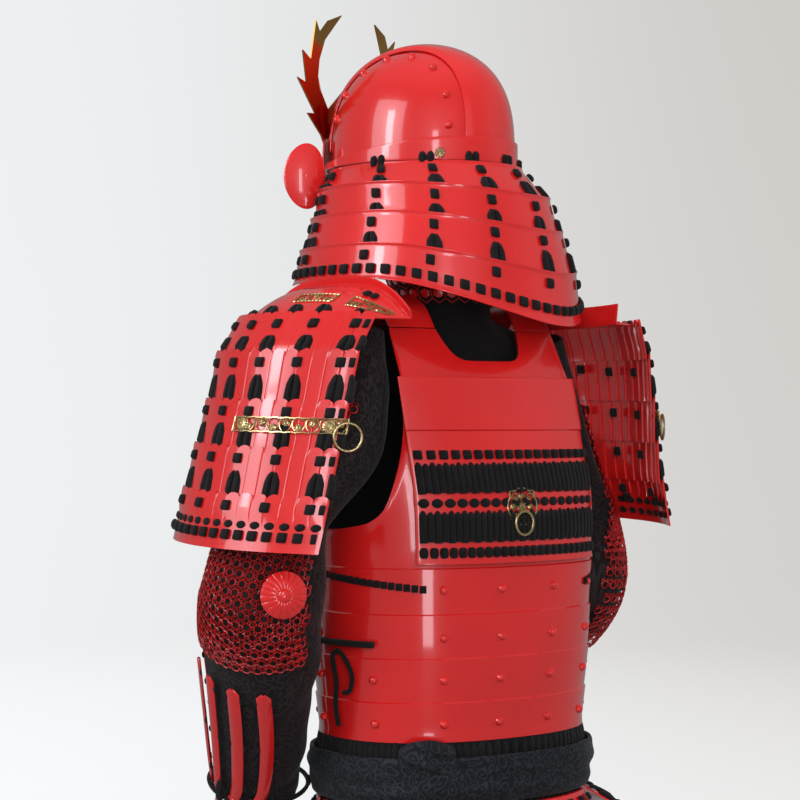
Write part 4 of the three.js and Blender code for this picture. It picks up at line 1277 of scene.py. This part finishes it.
class ARMOUR_OT_back_panel(bpy.types.Operator):
    """Raised laced panel of the back, with its gilt plaque and ring"""
    bl_idname = "armour.back_panel"
    bl_label = "Back panel"

    def execute(self, context):
        settings = context.scene.armour
        lift = PANEL["lift"]
        fall = PANEL["top"] - PANEL["bottom"]
        seam = (PANEL["top"] - PANEL["seam"]) / fall
        rows = [0, 0.01, 0.03, 0.12, 0.22, seam - 0.008, seam, *spread(seam + 0.02, 0.97, 12), 1.0]

        def at(u, v):
            step = 1.6 if v < seam - 0.004 else 0.0
            hem = 1.3 * math.exp(-((1 - v) * fall / 4) ** 2)
            return panel_point(u, v, lift + step + hem)
        wall_piece("laced_panel", at, 60, len(rows) - 1, "lacquer", "lacquer", "back_panel",
                   vs=rows, edge=0.8, angle=30)
        skin = Skin(lambda x, z: torso_point(torso_angle(x, z), z, lift), du=1, dv=1, up=1, hand=-1)
        knots, laces = Pile(), Pile()
        knot = cushion(12.6, 13.0, 5.2, 0.2, cross=0.22)
        dot = cushion(11.5, 9.0, 3.4, -0.12, cells=6)
        half = PANEL["half"] - 8
        for k in range(18):
            x = mix(-half, half, k / 17)
            knots.lay(skin, x, -176, knot)
            knots.lay(skin, x, -228, dot)
        twist = cushion(10.4, 12.5, 4.8, 0.05, cross=0.2)
        for k in range(24):
            knots.lay(skin, mix(-half - 1, half + 1, k / 23), -281.5, twist)
        for k in range(33):
            x = mix(-half - 1, half + 1, k / 32)
            for high, low in ((-184, -219.5), (-236, -271)):
                dip = 2.5 * (k % 2)
                ribbon = lace(8.8, high - low - dip, 4.8, tip=0.14, dive=0.6)
                laces.lay(skin, x, high - dip * 0.5, ribbon)
        finish(knots.mesh("panel_knots"), PAINT["braid"], "braid")
        finish(laces.mesh("panel_laces"), PAINT["braid"], "braid")
        gilt = Pile()
        plaque = Skin(lambda x, z: torso_point(torso_angle(x, z), z, lift + GAP + THIN), du=1, dv=1,
                      up=1, hand=-1)
        openwork(gilt, plaque, 0, -233, 19, 19)
        finish(gilt.mesh("gilt_plaque"), PAINT["gilt"], "gilt", "back_plaque")
        hoop = Pile()
        centre = torso_point(0, -249)
        centre.y += lift + GAP + THIN + 2.0 + 1.6
        add_tube(hoop, [centre + Vector((12 * math.cos(t), 0, 13 * math.sin(t) - 2))
                        for t in spread(0, 2 * math.pi, 33)[:-1]], 1.7, 10, closed=True)
        finish(hoop.mesh("plaque_ring"), PAINT["gilt"], "gilt", "back_ring")
        return {"FINISHED"}


def openwork(pile, skin, u, v, half_wide, half_tall):
    """A pierced gilt plaque: a frame, scrolls and flowers with gaps between them."""
    wide = skin.directions(u, v)[0].length
    tall = skin.directions(u, v)[1].length

    def line(points, radius, closed=False):
        add_tube(pile, skin.laid(u, v, [(x, y, 0.9) for x, y in points]), radius, 6, closed)
    edge = []
    for k in range(40):
        t = 2 * math.pi * k / 40
        swell = 1 + 0.07 * math.cos(8 * t)
        edge.append((half_wide * swell * power(math.cos(t), 0.6), half_tall * swell * power(math.sin(t), 0.6)))
    line(edge, 1.0, True)
    for sx in (-1, 1):
        for sy in (-1, 1):
            scroll = [(sx * half_wide * (0.5 + 0.34 * (1 - 0.11 * k) * math.cos(0.75 * k)),
                       sy * half_tall * (0.5 + 0.34 * (1 - 0.11 * k) * math.sin(0.75 * k)))
                      for k in range(9)]
            line(scroll, 0.9)
    for x, y, size in ((0, 0.62, 0.2), (0, -0.62, 0.2), (0.62, 0, 0.2), (-0.62, 0, 0.2),
                       (0, 0, 0.34), (0.5, 0.5, 0.15), (-0.5, 0.5, 0.15), (0.5, -0.5, 0.15),
                       (-0.5, -0.5, 0.15)):
        flower(pile, skin, u + x * half_wide / wide, v + y * half_tall / tall,
               size * min(half_wide, half_tall), 8)


# -------------------------------------------------------------- shoulder guards
def strip_relief(place):
    """Height of the overlapping strips of a lame and the rise of their rounded tops,
    from a place counted in strips."""
    t = place - math.floor(place)
    top = math.sqrt(max(0.0, 1 - (2 * t - 1) ** 2))
    lean = 0.6 + 1.5 * t
    groove = smooth(t / 0.08) * smooth((1 - t) / 0.03)
    return lean * groove, top


def guard_lame(guard, index, name):
    skin = guard_skin(guard)
    edges = guard["edges"]
    last = index == len(edges) - 2
    high = edges[index][0]
    low = edges[index + 1][0] - (0 if last else 8)
    cuts = (0.0, 0.03, 0.08, 0.16, 0.3, 0.5, 0.7, 0.84, 0.92, 0.97)
    us = [(k + cut) / GUARD_STRIPS for k in range(GUARD_STRIPS) for cut in cuts] + [1.0]
    rows = [0, 0.02, 0.05, 0.1, 0.16, 0.24, 0.36, 0.5, 0.62, 0.75, 0.88, 0.97, 1.0]
    reach = 0.44 if last else 1.4

    def at(u, v):
        degrees = mix(-GUARD_SPREAD, GUARD_SPREAD, u)
        relief, top = strip_relief(u * GUARD_STRIPS - 1e-6 if u == 1 else u * GUARD_STRIPS)
        z = mix(high, low, v) - 7.0 * (1 - top) * max(0.0, 1 - v * 5)
        fade = smooth((reach - v) / 0.05)
        return skin.at(degrees, z) + skin.normal(degrees, z) * (STEP * (1 - v) + relief * fade)
    return wall_piece(name, at, len(us) - 1, len(rows) - 1, "lacquer", "lacquer",
                      name.replace("_plate_", "_shoulder_lame_"), out=guard["hand"], us=us, vs=rows,
                      edge=0.0, angle=32)


def crown_point(guard):
    height, centre, _ = guard["edges"][0]
    facing = math.radians(guard["facing"])
    hand = guard["hand"]

    def at(u, v):
        side = mix(-1, 1, u)
        bend = abs(side) ** 3
        edge = CROWN["chord"] + (CROWN["radius"] - CROWN["chord"]) * math.sqrt(max(0.0, 1 - bend))
        slope = clamp01((v - 0.2) / 0.8)
        top = guard["crown"] - (guard["crown"] - CROWN["base"] - guard["collar"]) * bend
        foot = top - guard["collar"]
        out = mix(CROWN["chord"], edge + 2, slope) + 3 * (1 - clamp01(v / 0.2))
        rise = mix(top, foot, v / 0.2) if v < 0.2 else mix(foot, CROWN["base"], slope * slope)
        along = CROWN["half"] * side
        return Vector((hand * (centre + out * math.sin(facing) + along * math.cos(facing)),
                       out * math.cos(facing) - along * math.sin(facing), height + rise))
    return at


class ARMOUR_OT_shoulder_guards(bpy.types.Operator):
    """Both shoulder guards: crown plate, strip lames, laces, knots and gilt fittings"""
    bl_idname = "armour.shoulder_guards"
    bl_label = "Shoulder guards"

    def execute(self, context):
        settings = context.scene.armour
        size = settings.knot_size
        knot = cushion(size, size + 0.5, 5.6, 0.2, cross=0.22)
        small = cushion(size * 0.6, size, 4.8, 0.2, cross=0.12)
        dot = cushion(10.0, 7.5, 3.4, -0.12, cells=6)
        for side, guard in GUARDS.items():
            skin = guard_skin(guard)
            knots, laces, gilt = Pile(), Pile(), Pile()
            strip = 2 * GUARD_SPREAD / GUARD_STRIPS
            for index in range(5):
                guard_lame(guard, index, f"{side}_plate_{index + 1}")
                high, low = guard["edges"][index][0], guard["edges"][index + 1][0]
                last = index == 4
                for place in (0.35, 1.1, 4.0, 6.9, 9.6, 12.6):
                    degrees = -GUARD_SPREAD + strip * place
                    z = high - 14
                    lift = STEP * (1 - 14 / (high - low)) + 1.0
                    knots.lay(skin, degrees, z, small if place < 1 else knot, lift=lift)
                    if last:
                        continue
                    drop = z - 12 - low + 5
                    pair = lace_pair(settings.lace_width, drop, 5.6, 4.4)
                    for shift, ribbon in pair if place > 1 else pair[:1]:
                        laces.lay(skin, degrees + shift / 2.55, z - 11, ribbon, lift=1.6)
                if last:
                    for k in range(15):
                        degrees = -GUARD_SPREAD + strip * (k + 0.5)
                        knots.lay(skin, degrees, high - 32, dot, lift=1.4)
                        knots.lay(skin, degrees, high - 43, small if k == 0 else knot, lift=1.0)
            inside = Skin(skin.at, skin.du, skin.dv, up=1, hand=-skin.hand)
            for index, places in enumerate(GUARD_INNER):
                for degrees, z in places:
                    share = (guard["edges"][index][0] - z) / (guard["edges"][index][0] - guard["edges"][index + 1][0])
                    knots.lay(inside, degrees, z, knot, lift=PLATE - STEP * (1 - share) + 0.2)
            for degrees in spread(-41, 41, 14):
                for z in (guard["edges"][4][0] - 33, guard["edges"][4][0] - 46):
                    share = (guard["edges"][4][0] - z) / (guard["edges"][4][0] - guard["edges"][5][0])
                    knots.lay(inside, degrees, z, dot, lift=PLATE - STEP * (1 - share) + 0.2)
            crown = crown_point(guard)
            wall_piece(f"{side}_crown", crown, 64, 24, "lacquer", "lacquer",
                       f"{side}_shoulder_crown", out=guard["hand"], edge=0.7,
                       vs=[*spread(0, 0.2, 7), *spread(0.24, 1, 18)])
            crown_skin = Skin(crown, du=0.004, dv=0.01, up=-1, hand=guard["hand"])
            for u in (0.1, 0.28, 0.46, 0.64, 0.82):
                for shift, rope in lace_pair(settings.lace_width, 17, 5.0, 4.3):
                    laces.lay(crown_skin, u + shift / 214, 0.84, rope)
            for u, v in ((0.18, 0.5), (0.145, 0.48)):
                knots.lay(crown_skin, u, v, small)
            for u, half_wide in ((0.115, 22), (0.41, 27)):
                openband(gilt, crown_skin, u, 0.72, half_wide, 8, 3)
            third = guard["edges"][2][0]
            bar_skin = skin.layer(STEP + 1.8)
            middle = (BAR["rear"] + BAR["front"]) / 2
            openband(gilt, bar_skin, middle, third - BAR["drop"], 66, 8.2, 9)
            for degrees in (BAR["rear"] + 5, BAR["front"] - 3):
                flower(gilt, bar_skin, degrees, third - BAR["drop"], 7.5, 14, lift=1.4)
            finish(knots.mesh(f"{side}_guard_knots"), PAINT["braid"], "braid")
            finish(laces.mesh(f"{side}_guard_laces"), PAINT["braid"], "braid")
            finish(gilt.mesh(f"{side}_guard_gilt"), PAINT["gilt"], "gilt", f"{side}_shoulder_bar")
            hoop = Pile()
            lift = STEP + 2 * (GAP + THIN) + GUARD_RING["wire"]
            centre = skin.at(GUARD_RING["angle"], third - GUARD_RING["drop"])
            normal = skin.normal(GUARD_RING["angle"], third - GUARD_RING["drop"])
            across = Vector((0, 0, 1)).cross(normal).normalized()
            centre = centre + normal * lift
            add_tube(hoop, [centre + (across * math.cos(t) + Vector((0, 0, 1)) * math.sin(t))
                            * GUARD_RING["radius"] for t in spread(0, 2 * math.pi, 41)[:-1]],
                     1.5, 10, closed=True)
            finish(hoop.mesh(f"{side}_guard_ring"), PAINT["gilt"], "gilt", f"{side}_shoulder_ring")
        return {"FINISHED"}


def openband(pile, skin, u, v, half_wide, half_tall, flowers):
    """A pierced gilt band: two rails with flowers and curled stems between them."""
    wide = skin.directions(u, v)[0].length
    tall = skin.directions(u, v)[1].length

    def line(points, radius):
        add_tube(pile, skin.laid(u, v, [(x, y, 0.8) for x, y in points]), radius, 5)
    for sign in (-1, 1):
        line([(mix(-half_wide, half_wide, k / 30), sign * half_tall * (0.94 + 0.06 * math.cos(k * 2.1)))
              for k in range(31)], 0.9)
        line([(sign * half_wide, mix(-half_tall, half_tall, k / 4)) for k in range(5)], 0.9)
    pitch = 2 * half_wide / flowers
    for k in range(flowers):
        x = -half_wide + pitch * (k + 0.5)
        y = half_tall * 0.3 * (-1) ** k
        flower(pile, skin, u + x / wide, v + y / tall, min(pitch, half_tall) * 0.52, 7)
        for sign in (-1, 1):
            stem = [(x + sign * pitch * (0.15 + 0.32 * math.sin(0.5 * s)),
                     -sign * half_tall * 0.85 * math.cos(0.55 * s + 0.3 * sign) * 0.9) for s in range(7)]
            line(stem, 0.75)


# --------------------------------------------------------------------- sleeves
def sleeve_crease(degrees, along):
    """Soft uneven folds of the sleeve cloth, in mm."""
    folds = (
        (0.30, 200, 0.045, 60, 3.0), (0.42, 160, 0.03, 80, -3.5), (0.47, 330, 0.035, 70, 3.0),
        (0.55, 20, 0.04, 90, -4.0), (0.62, 300, 0.03, 60, 3.2), (0.7, 350, 0.035, 80, -3.0),
        (0.78, 250, 0.03, 70, 2.6), (0.86, 330, 0.03, 90, -2.4), (0.2, 310, 0.05, 60, -3.0),
        (0.36, 280, 0.03, 55, -2.6), (0.52, 255, 0.035, 60, 3.0),
    )
    total = 0.0
    for place, centre, width, breadth, height in folds:
        turned = (degrees - centre + 180) % 360 - 180
        lean = along - place - 0.0006 * turned
        total += height * math.exp(-(lean / width) ** 2 - (turned / breadth) ** 2)
    total += 0.8 * math.sin(along * 46 + math.radians(degrees) * 2) * math.sin(math.radians(degrees) * 3 + along * 9)
    return total


class ARMOUR_OT_sleeves(bpy.types.Operator):
    """Cloth sleeves with elbow disc, splints, wrist cord and hand guard"""
    bl_idname = "armour.sleeves"
    bl_label = "Sleeves"

    def execute(self, context):
        for side, hand in HANDS.items():
            skin = arm_skin(side)

            def cloth(u, v, skin=skin, side=side):
                degrees = u * 360
                hidden = smooth((MAIL["bottom"] - v) / 0.05) * smooth((math.cos(math.radians(degrees - 92)) + 0.3) / 0.4)
                under = smooth((v - SPLINTS["top"]) / 0.03) * smooth((math.cos(math.radians(degrees - 92)) - 0.1) / 0.3)
                crease = sleeve_crease(degrees, v) * (1 - 0.85 * max(hidden, under))
                return skin.at(degrees, v) + skin.normal(degrees, min(max(v, 0.011), 0.989)) * min(crease, 3.0)
            obj = wall_piece(f"{side}_sleeve_cloth", cloth, 96, 110, "cloth", "cloth",
                             f"{side}_sleeve", out=hand, thickness=CLOTH, ring=True, edge=0.0)
            lift = 2 * GAP + PLATE + CLOTH
            disc = disc_piece(skin, ELBOW[side], ELBOW["along"], f"{side}_elbow_boss")
            finish(disc, PAINT["lacquer"], "lacquer", f"{side}_elbow_disc")
            rods = Pile()
            pitch = (SPLINTS["front"] - SPLINTS["rear"]) / SPLINTS["count"]
            for k in range(SPLINTS["count"]):
                centre = SPLINTS["rear"] + pitch * (k + 0.5)
                bow = 3.0 * (k - 2)

                def splint(u, v, centre=centre, bow=bow, skin=skin):
                    along = mix(SPLINTS["top"], SPLINTS["bottom"] - 0.012, v)
                    width = mix(7.6, 5.6, v) * (1 - 0.75 * clamp01(1 - v / 0.03) ** 2)
                    x = mix(-width, width, u)
                    height = lift + 2.4 * (1 - (2 * u - 1) ** 2) + 1.2
                    degrees = centre + bow * math.sin(math.pi * v)
                    per_degree = max(0.5, skin.directions(degrees, along)[0].length)
                    return skin.laid(degrees + x / per_degree, along, [(0, 0, height)])[0]
                wall_piece(f"{side}_splint_{k + 1}", splint, 8, 40, "lacquer", "lacquer",
                           *([f"{side}_splints"] if k == 0 else []), out=hand, thickness=1.6, edge=0.5)
            stitches = Pile()
            tie = cushion(3.2, 8.5, 2.2, 0.0, cells=4)
            for k in range(SPLINTS["count"]):
                centre = SPLINTS["rear"] + pitch * (k + 0.5)
                for share in (0.06, 0.34, 0.62, 0.88):
                    along = mix(SPLINTS["top"], SPLINTS["bottom"], share)
                    degrees = centre + 3.0 * (k - 2) * math.sin(math.pi * share)
                    per_degree = skin.directions(degrees, along)[0].length
                    for shift in (-8.6, 8.6):
                        stitches.lay(skin, degrees + shift / per_degree, along, tie, lift=lift + 0.5)
            finish(stitches.mesh(f"{side}_splint_stitches"), PAINT["braid"], "braid")
            wrap = Pile()
            for turn in range(2):
                path = []
                for step in range(73):
                    degrees = mix(-168, 186, step / 72)
                    along = WRIST + 0.012 * (turn - 0.5) * math.cos(math.radians(degrees + 10))
                    path.append(skin.laid(degrees, along, [(0, 0, lift + 5.0)])[0])
                add_tube(wrap, path, 2.2, 8)
            for spot in (82, 300):
                wrap.lay(skin, spot, WRIST, cushion(10, 12, 5, 0.1, cross=0.2), lift=lift + 3.5)
            finish(wrap.mesh(f"{side}_wrist_wrap"), PAINT["braid"], "braid", f"{side}_wrist_cord")

            def plate(u, v, skin=skin):
                bulge = 1 - (2 * u - 1) ** 2
                along = 1.005 + HAND["length"] / skin.length * v * mix(0.55, 1, bulge)
                return skin.laid(90 + mix(-HAND["spread"], HAND["spread"], u), along,
                                 [(0, 0, 3 + 6 * v)])[0]
            wall_piece(f"{side}_hand_plate", plate, 40, 14, "lacquer", "lacquer",
                       f"{side}_hand_guard", out=hand, edge=0.6)
        return {"FINISHED"}


def disc_piece(skin, degrees, along, name):
    """A fluted boss on the elbow."""
    centre = skin.laid(degrees, along, [(0, 0, 2 * GAP + PLATE + CLOTH + 3.4)])[0]
    normal = skin.normal(degrees, along)
    across = Vector((0, 0, 1)).cross(normal).normalized()
    up = normal.cross(across)
    radii = [0.004, 0.12, 0.2, 0.235, 0.27, 0.33, 0.45, 0.6, 0.75, 0.86, 0.93, 0.97, 1.0]

    def at(u, v):
        t = radii[round(v * (len(radii) - 1))]
        angle = 2 * math.pi * u
        flute = abs(math.sin(9 * angle)) ** 0.7 * smooth((t - 0.27) / 0.2)
        height = ELBOW["rise"] * (1 - t ** 2.2) * 0.85 + 0.9 * flute * (1 - 0.3 * t)
        if t < 0.24:
            height = ELBOW["rise"] * 0.9 + 1.6 * math.sqrt(max(0.0, 1 - (t / 0.24) ** 2))
        reach = ELBOW["radius"] * t * (1 + 0.012 * flute)
        return centre + across * reach * math.cos(angle) + up * reach * math.sin(angle) + normal * height
    obj = bent_grid(name, at, 144, len(radii) - 1, ring=True)
    return thicken(obj, 1.6, 0.0)


class ARMOUR_OT_mail(bpy.types.Operator):
    """Ring mail over the upper arms"""
    bl_idname = "armour.mail"
    bl_label = "Mail"

    def execute(self, context):
        pitch = context.scene.armour.ring_pitch
        for side in HANDS:
            skin = arm_skin(side)
            rings = Pile()
            level = 2 * GAP + PLATE + 1.4
            along, row = MAIL["top"] + 0.002, 0
            middle = 80
            while along < MAIL["bottom"]:
                # walk out from the middle by the real pitch
                for way in (-1, 1):
                    degrees = middle + (0.5 * (row % 2)) * pitch / skin.directions(middle, along)[0].length
                    if way < 0:
                        degrees -= pitch / skin.directions(degrees, along)[0].length
                    while mail_rear(along) < degrees < MAIL["front"]:
                        add_mail_ring(rings, skin, degrees, along, pitch, level)
                        degrees += way * pitch / skin.directions(degrees, along)[0].length
                along += pitch * 0.866 / skin.directions(middle, along)[1].length
                row += 1
            finish(rings.mesh(f"{side}_mail_rings"), PAINT["mail"], "mail", f"{side}_mail")
        return {"FINISHED"}


def add_mail_ring(pile, skin, degrees, along, pitch, level):
    radius = pitch * 0.36
    plan = [(radius * math.cos(t), radius * math.sin(t), level) for t in spread(0, 2 * math.pi, 13)[:-1]]
    add_tube(pile, skin.laid(degrees, along, plan), 0.85, 3, closed=True)
    for k in range(3):
        angle = math.radians(60 * k)
        near, far = radius * 0.8, pitch - radius * 0.8
        cos, sin = math.cos(angle), math.sin(angle)
        plan = []
        for t in spread(0, 2 * math.pi, 7)[:-1]:
            run = (near + far) / 2 + (far - near) / 2 * math.cos(t)
            plan.append((run * cos - 1.5 * math.sin(t) * sin, run * sin + 1.5 * math.sin(t) * cos,
                         level + 0.5))
        add_tube(pile, skin.laid(degrees, along, plan), 0.75, 3, closed=True)


# --------------------------------------------------------------- waist and skirt
class ARMOUR_OT_waist(bpy.types.Operator):
    """Lacing under the cuirass, the wound belt and its tucked end"""
    bl_idname = "armour.waist"
    bl_label = "Waist"

    def execute(self, context):
        ring = wall_piece(
            "waist_cloth", lambda u, v: torso_point(u * 360, mix(LACING["top"], LACING["bottom"], v), 1.2),
            96, 4, "plain", "braid", "waist_lacing", ring=True, thickness=1.2, edge=0.0)
        laces = Pile()
        count = 108
        skin = TORSO_SKIN
        dips = (0.0, 3.0)
        bands = [lace(9.6, 84 - dip, 4.4, tip=0.1, dive=0) for dip in dips]
        for k in range(count):
            degrees = 360 * k / count
            laces.lay(skin, degrees, LACING["top"] + 1.5 - dips[k % 2], bands[k % 2], lift=1.0)
        finish(laces.mesh("waist_laces"), PAINT["braid"], "braid")

        def belt(u, v):
            angle = 2 * math.pi * u
            bulge = 4 * math.sin(math.pi * v) ** 0.6
            folds = (1.2 * math.sin(v * 9 + 1.4 * math.sin(angle * 2 + 0.7))
                     + 0.9 * math.sin(v * 17 + 2.0 * math.cos(angle * 3)) * math.sin(angle * 3 + 1)
                     + 0.8 * math.sin(angle * 11 + v * 5))
            z = mix(BELT["top"], BELT["bottom"], v) + 1.6 * math.sin(angle * 3 + 1) * math.sin(math.pi * v)
            return torso_point(u * 360, z, BELT["lift"] + BELT["thickness"] - 1.5 + bulge
                               + folds * math.sin(math.pi * v) ** 0.4)
        obj = wall_piece("wound_belt", belt, 180, 22, "belt", "cloth", "belt", ring=True,
                         thickness=4.0, edge=1.2)

        def tuck(u, v):
            across = 2 * u - 1
            z = TUCK["z"] + TUCK["half"] * math.sqrt(1 - 0.85 * across * across) * mix(1, -1, v)
            dome_height = (TUCK["thickness"] * math.sqrt(max(0.0, 1 - 0.8 * (2 * v - 1) ** 2))
                           * (1 - 0.5 * across ** 2))
            fold = 2.2 * math.sin(v * 11 + across * 3.0) + 1.2 * math.sin(across * 8 + v * 4)
            return torso_point(TUCK["angle"] + TUCK["spread"] * across, z,
                               TUCK["lift"] + dome_height + fold * (1 - across ** 2))
        obj = wall_piece("belt_tuck", tuck, 48, 24, "belt", "cloth", thickness=2.0, edge=0.6)
        return {"FINISHED"}


class ARMOUR_OT_skirt(bpy.types.Operator):
    """Seven laced skirt plates"""
    bl_idname = "armour.skirt"
    bl_label = "Skirt"

    def execute(self, context):
        settings = context.scene.armour
        knot = cushion(settings.knot_size * 0.85, settings.knot_size * 0.9, 3.8, 0.2, cells=6, cross=0.2)
        for name, (angle, flare) in TASSETS.items():
            skin = tasset_skin(angle, flare)
            rows = []
            for lame in range(TASSET["lames"]):
                rows += [lame + share for share in (0.0, 0.05, 0.12, 0.3, 0.6, 0.85)]
            rows.append(TASSET["lames"])

            def at(u, v, skin=skin, rows=rows):
                across = mix(-TASSET["spread"], TASSET["spread"], u)
                lames = rows[round(v * (len(rows) - 1))]
                part = lames - math.floor(lames)
                lip = 1.6 if part < 0.08 and 0 < lames < TASSET["lames"] else 0.0
                return skin.at(across, lames) + skin.normal(across, 0.5) * lip
            wall_piece(f"skirt_{name}", at, 40, len(rows) - 1, "lacquer", "lacquer",
                       f"tasset_{name}", edge=0.4, angle=30)
            knots = Pile()
            ribbon = lace(settings.lace_width, 23, 3.8)
            for lame in range(TASSET["lames"]):
                for across in (-19, -9.5, 0, 9.5, 19):
                    knots.lay(skin, across, lame + 0.26, knot, lift=1.0)
                    if lame < TASSET["lames"] - 1:
                        for shift in (-1.6, 1.6):
                            knots.lay(skin, across + shift, lame + 0.46, ribbon, lift=0.8)
            for k in range(11):
                knots.lay(skin, mix(-21, 21, k / 10), TASSET["lames"] - 0.28, knot, lift=1.0)
            finish(knots.mesh(f"skirt_{name}_knots"), PAINT["braid"], "braid")
        return {"FINISHED"}


# ----------------------------------------------------------------------- cords
class ARMOUR_OT_cords(bpy.types.Operator):
    """Side cord of the cuirass and its hanging bow"""
    bl_idname = "armour.cords"
    bl_label = "Cords"

    def execute(self, context):
        for name, node, plan, radius, lift in (
            ("side_cord", "side_tie",
             [(mix(SIDE_TIE["rear"], SIDE_TIE["front"], k / 6), SIDE_TIE["z"]) for k in range(7)],
             CORD_RADIUS + 1, SIDE_TIE["lift"]),
            ("bow_cord", "side_tie_bow", TIE_TAIL, CORD_RADIUS, SIDE_TIE["lift"] - 1),
        ):
            path = spline([torso_point(angle, z, lift) for angle, z in plan], 6)
            pile = Pile()
            add_tube(pile, path, radius, 12)
            obj = finish(pile.mesh(name), PAINT["braid"], "braid", node)
        return {"FINISHED"}


# ----------------------------------------------------------------------- stage
class ARMOUR_OT_stage(bpy.types.Operator):
    """Camera, floor, wall and soft lights"""
    bl_idname = "armour.stage"
    bl_label = "Stage"

    def execute(self, context):
        begin()
        bpy.ops.object.camera_add(location=(1.4267, 1.9312, -0.138))
        camera = context.object
        camera.name = "view"
        look = Vector((-0.574, -0.819, math.tan(math.radians(0.55))))
        camera.rotation_euler = look.to_track_quat("-Z", "Y").to_euler()
        camera.data.lens = 36 * 2087 / 800
        camera.data.clip_end = 50
        context.scene.camera = camera
        low, _ = CAD_BOX
        bpy.ops.mesh.primitive_grid_add(x_subdivisions=64, y_subdivisions=64, size=16,
                                        location=(0, 0, low[2] - 0.02))
        floor = context.object
        floor.name = "floor"
        for vertex in floor.data.vertices:
            beyond = max(0.0, math.hypot(vertex.co.x, vertex.co.y) - 4.0)
            vertex.co.z = 0.65 * beyond * beyond
        bpy.ops.object.shade_smooth()
        floor.data.materials.append(PAINT["floor"])
        floor.visible_shadow = floor.visible_diffuse = floor.visible_glossy = False
        world = bpy.data.worlds.new("Soft room")
        world.use_nodes = True
        world.node_tree.nodes["Background"].inputs["Color"].default_value = (0.97, 0.98, 1.0, 1)
        world.node_tree.nodes["Background"].inputs["Strength"].default_value = 0.25
        context.scene.world = world
        # azimuth from the camera's side (left is negative), height angle, distance, width and
        # height, brightness, and whether polished surfaces mirror it
        for name, azimuth, rise, distance, size, level, mirrored in (
            ("left_wall", -55, 16, 2.4, (1.5, 1.9), 2.6, True),
            ("window", -52, 20, 2.3, (0.3, 0.75), 9.0, True),
            ("tall_window", 2, 5, 2.4, (0.3, 1.0), 6.0, True),
            ("low_window", 14, -17, 2.4, (0.3, 0.5), 6.0, True),
            ("front_fill", 5, 14, 3.4, (3.0, 2.2), 3.6, False),
            ("right_fill", 95, 12, 3.0, (2.0, 2.2), 3.0, False),
            ("rear_fill", 180, 35, 3.2, (3.0, 2.0), 2.0, False),
            ("ceiling", 0, 90, 2.4, (2.6, 2.6), 2.0, False),
        ):
            around, up = math.radians(azimuth), math.radians(rise)
            level_place = CAMERA_SIDE * math.cos(around) + CAMERA_RIGHT * math.sin(around)
            place = (level_place * math.cos(up) + Vector((0, 0, math.sin(up)))) * distance
            bpy.ops.object.light_add(type="AREA", location=place)
            light = context.object
            light.name = name
            light.data.shape = "RECTANGLE"
            light.data.size, light.data.size_y = size
            light.data.energy = level * math.pi * size[0] * size[1]
            light.data.color = (0.9, 0.93, 1.0)
            light.visible_glossy = mirrored
            light.rotation_euler = (-place).to_track_quat("-Z", "Y").to_euler()
        context.scene.view_settings.view_transform = "Standard"
        return {"FINISHED"}


class ARMOUR_PT_panel(bpy.types.Panel):
    bl_label = "Samurai Armour"
    bl_idname = "ARMOUR_PT_panel"
    bl_space_type = "VIEW_3D"
    bl_region_type = "UI"
    bl_category = "Armour"

    def draw(self, context):
        settings = context.scene.armour
        for prop in ("lacquer", "braid", "gilt", "lace_width", "knot_size", "rivet_radius", "ring_pitch"):
            self.layout.prop(settings, prop)
        for operator in OPERATORS:
            self.layout.operator(operator.bl_idname)


OPERATORS = [ARMOUR_OT_stage, ARMOUR_OT_cords, ARMOUR_OT_helmet, ARMOUR_OT_neck_guard,
             ARMOUR_OT_collar, ARMOUR_OT_cuirass, ARMOUR_OT_back_panel, ARMOUR_OT_shoulder_guards,
             ARMOUR_OT_mail, ARMOUR_OT_sleeves, ARMOUR_OT_waist, ARMOUR_OT_skirt]
CLASSES = [ArmourSettings, *OPERATORS, ARMOUR_PT_panel]


def register():
    for item in CLASSES:
        bpy.utils.register_class(item)
    bpy.types.Scene.armour = bpy.props.PointerProperty(type=ArmourSettings)


def unregister():
    del bpy.types.Scene.armour
    for item in reversed(CLASSES):
        bpy.utils.unregister_class(item)


def main():
    register()
    mix_paints()
    for operator in OPERATORS:
        group, name = operator.bl_idname.split(".")
        getattr(getattr(bpy.ops, group), name)()


if __name__ == "__main__":
    main()
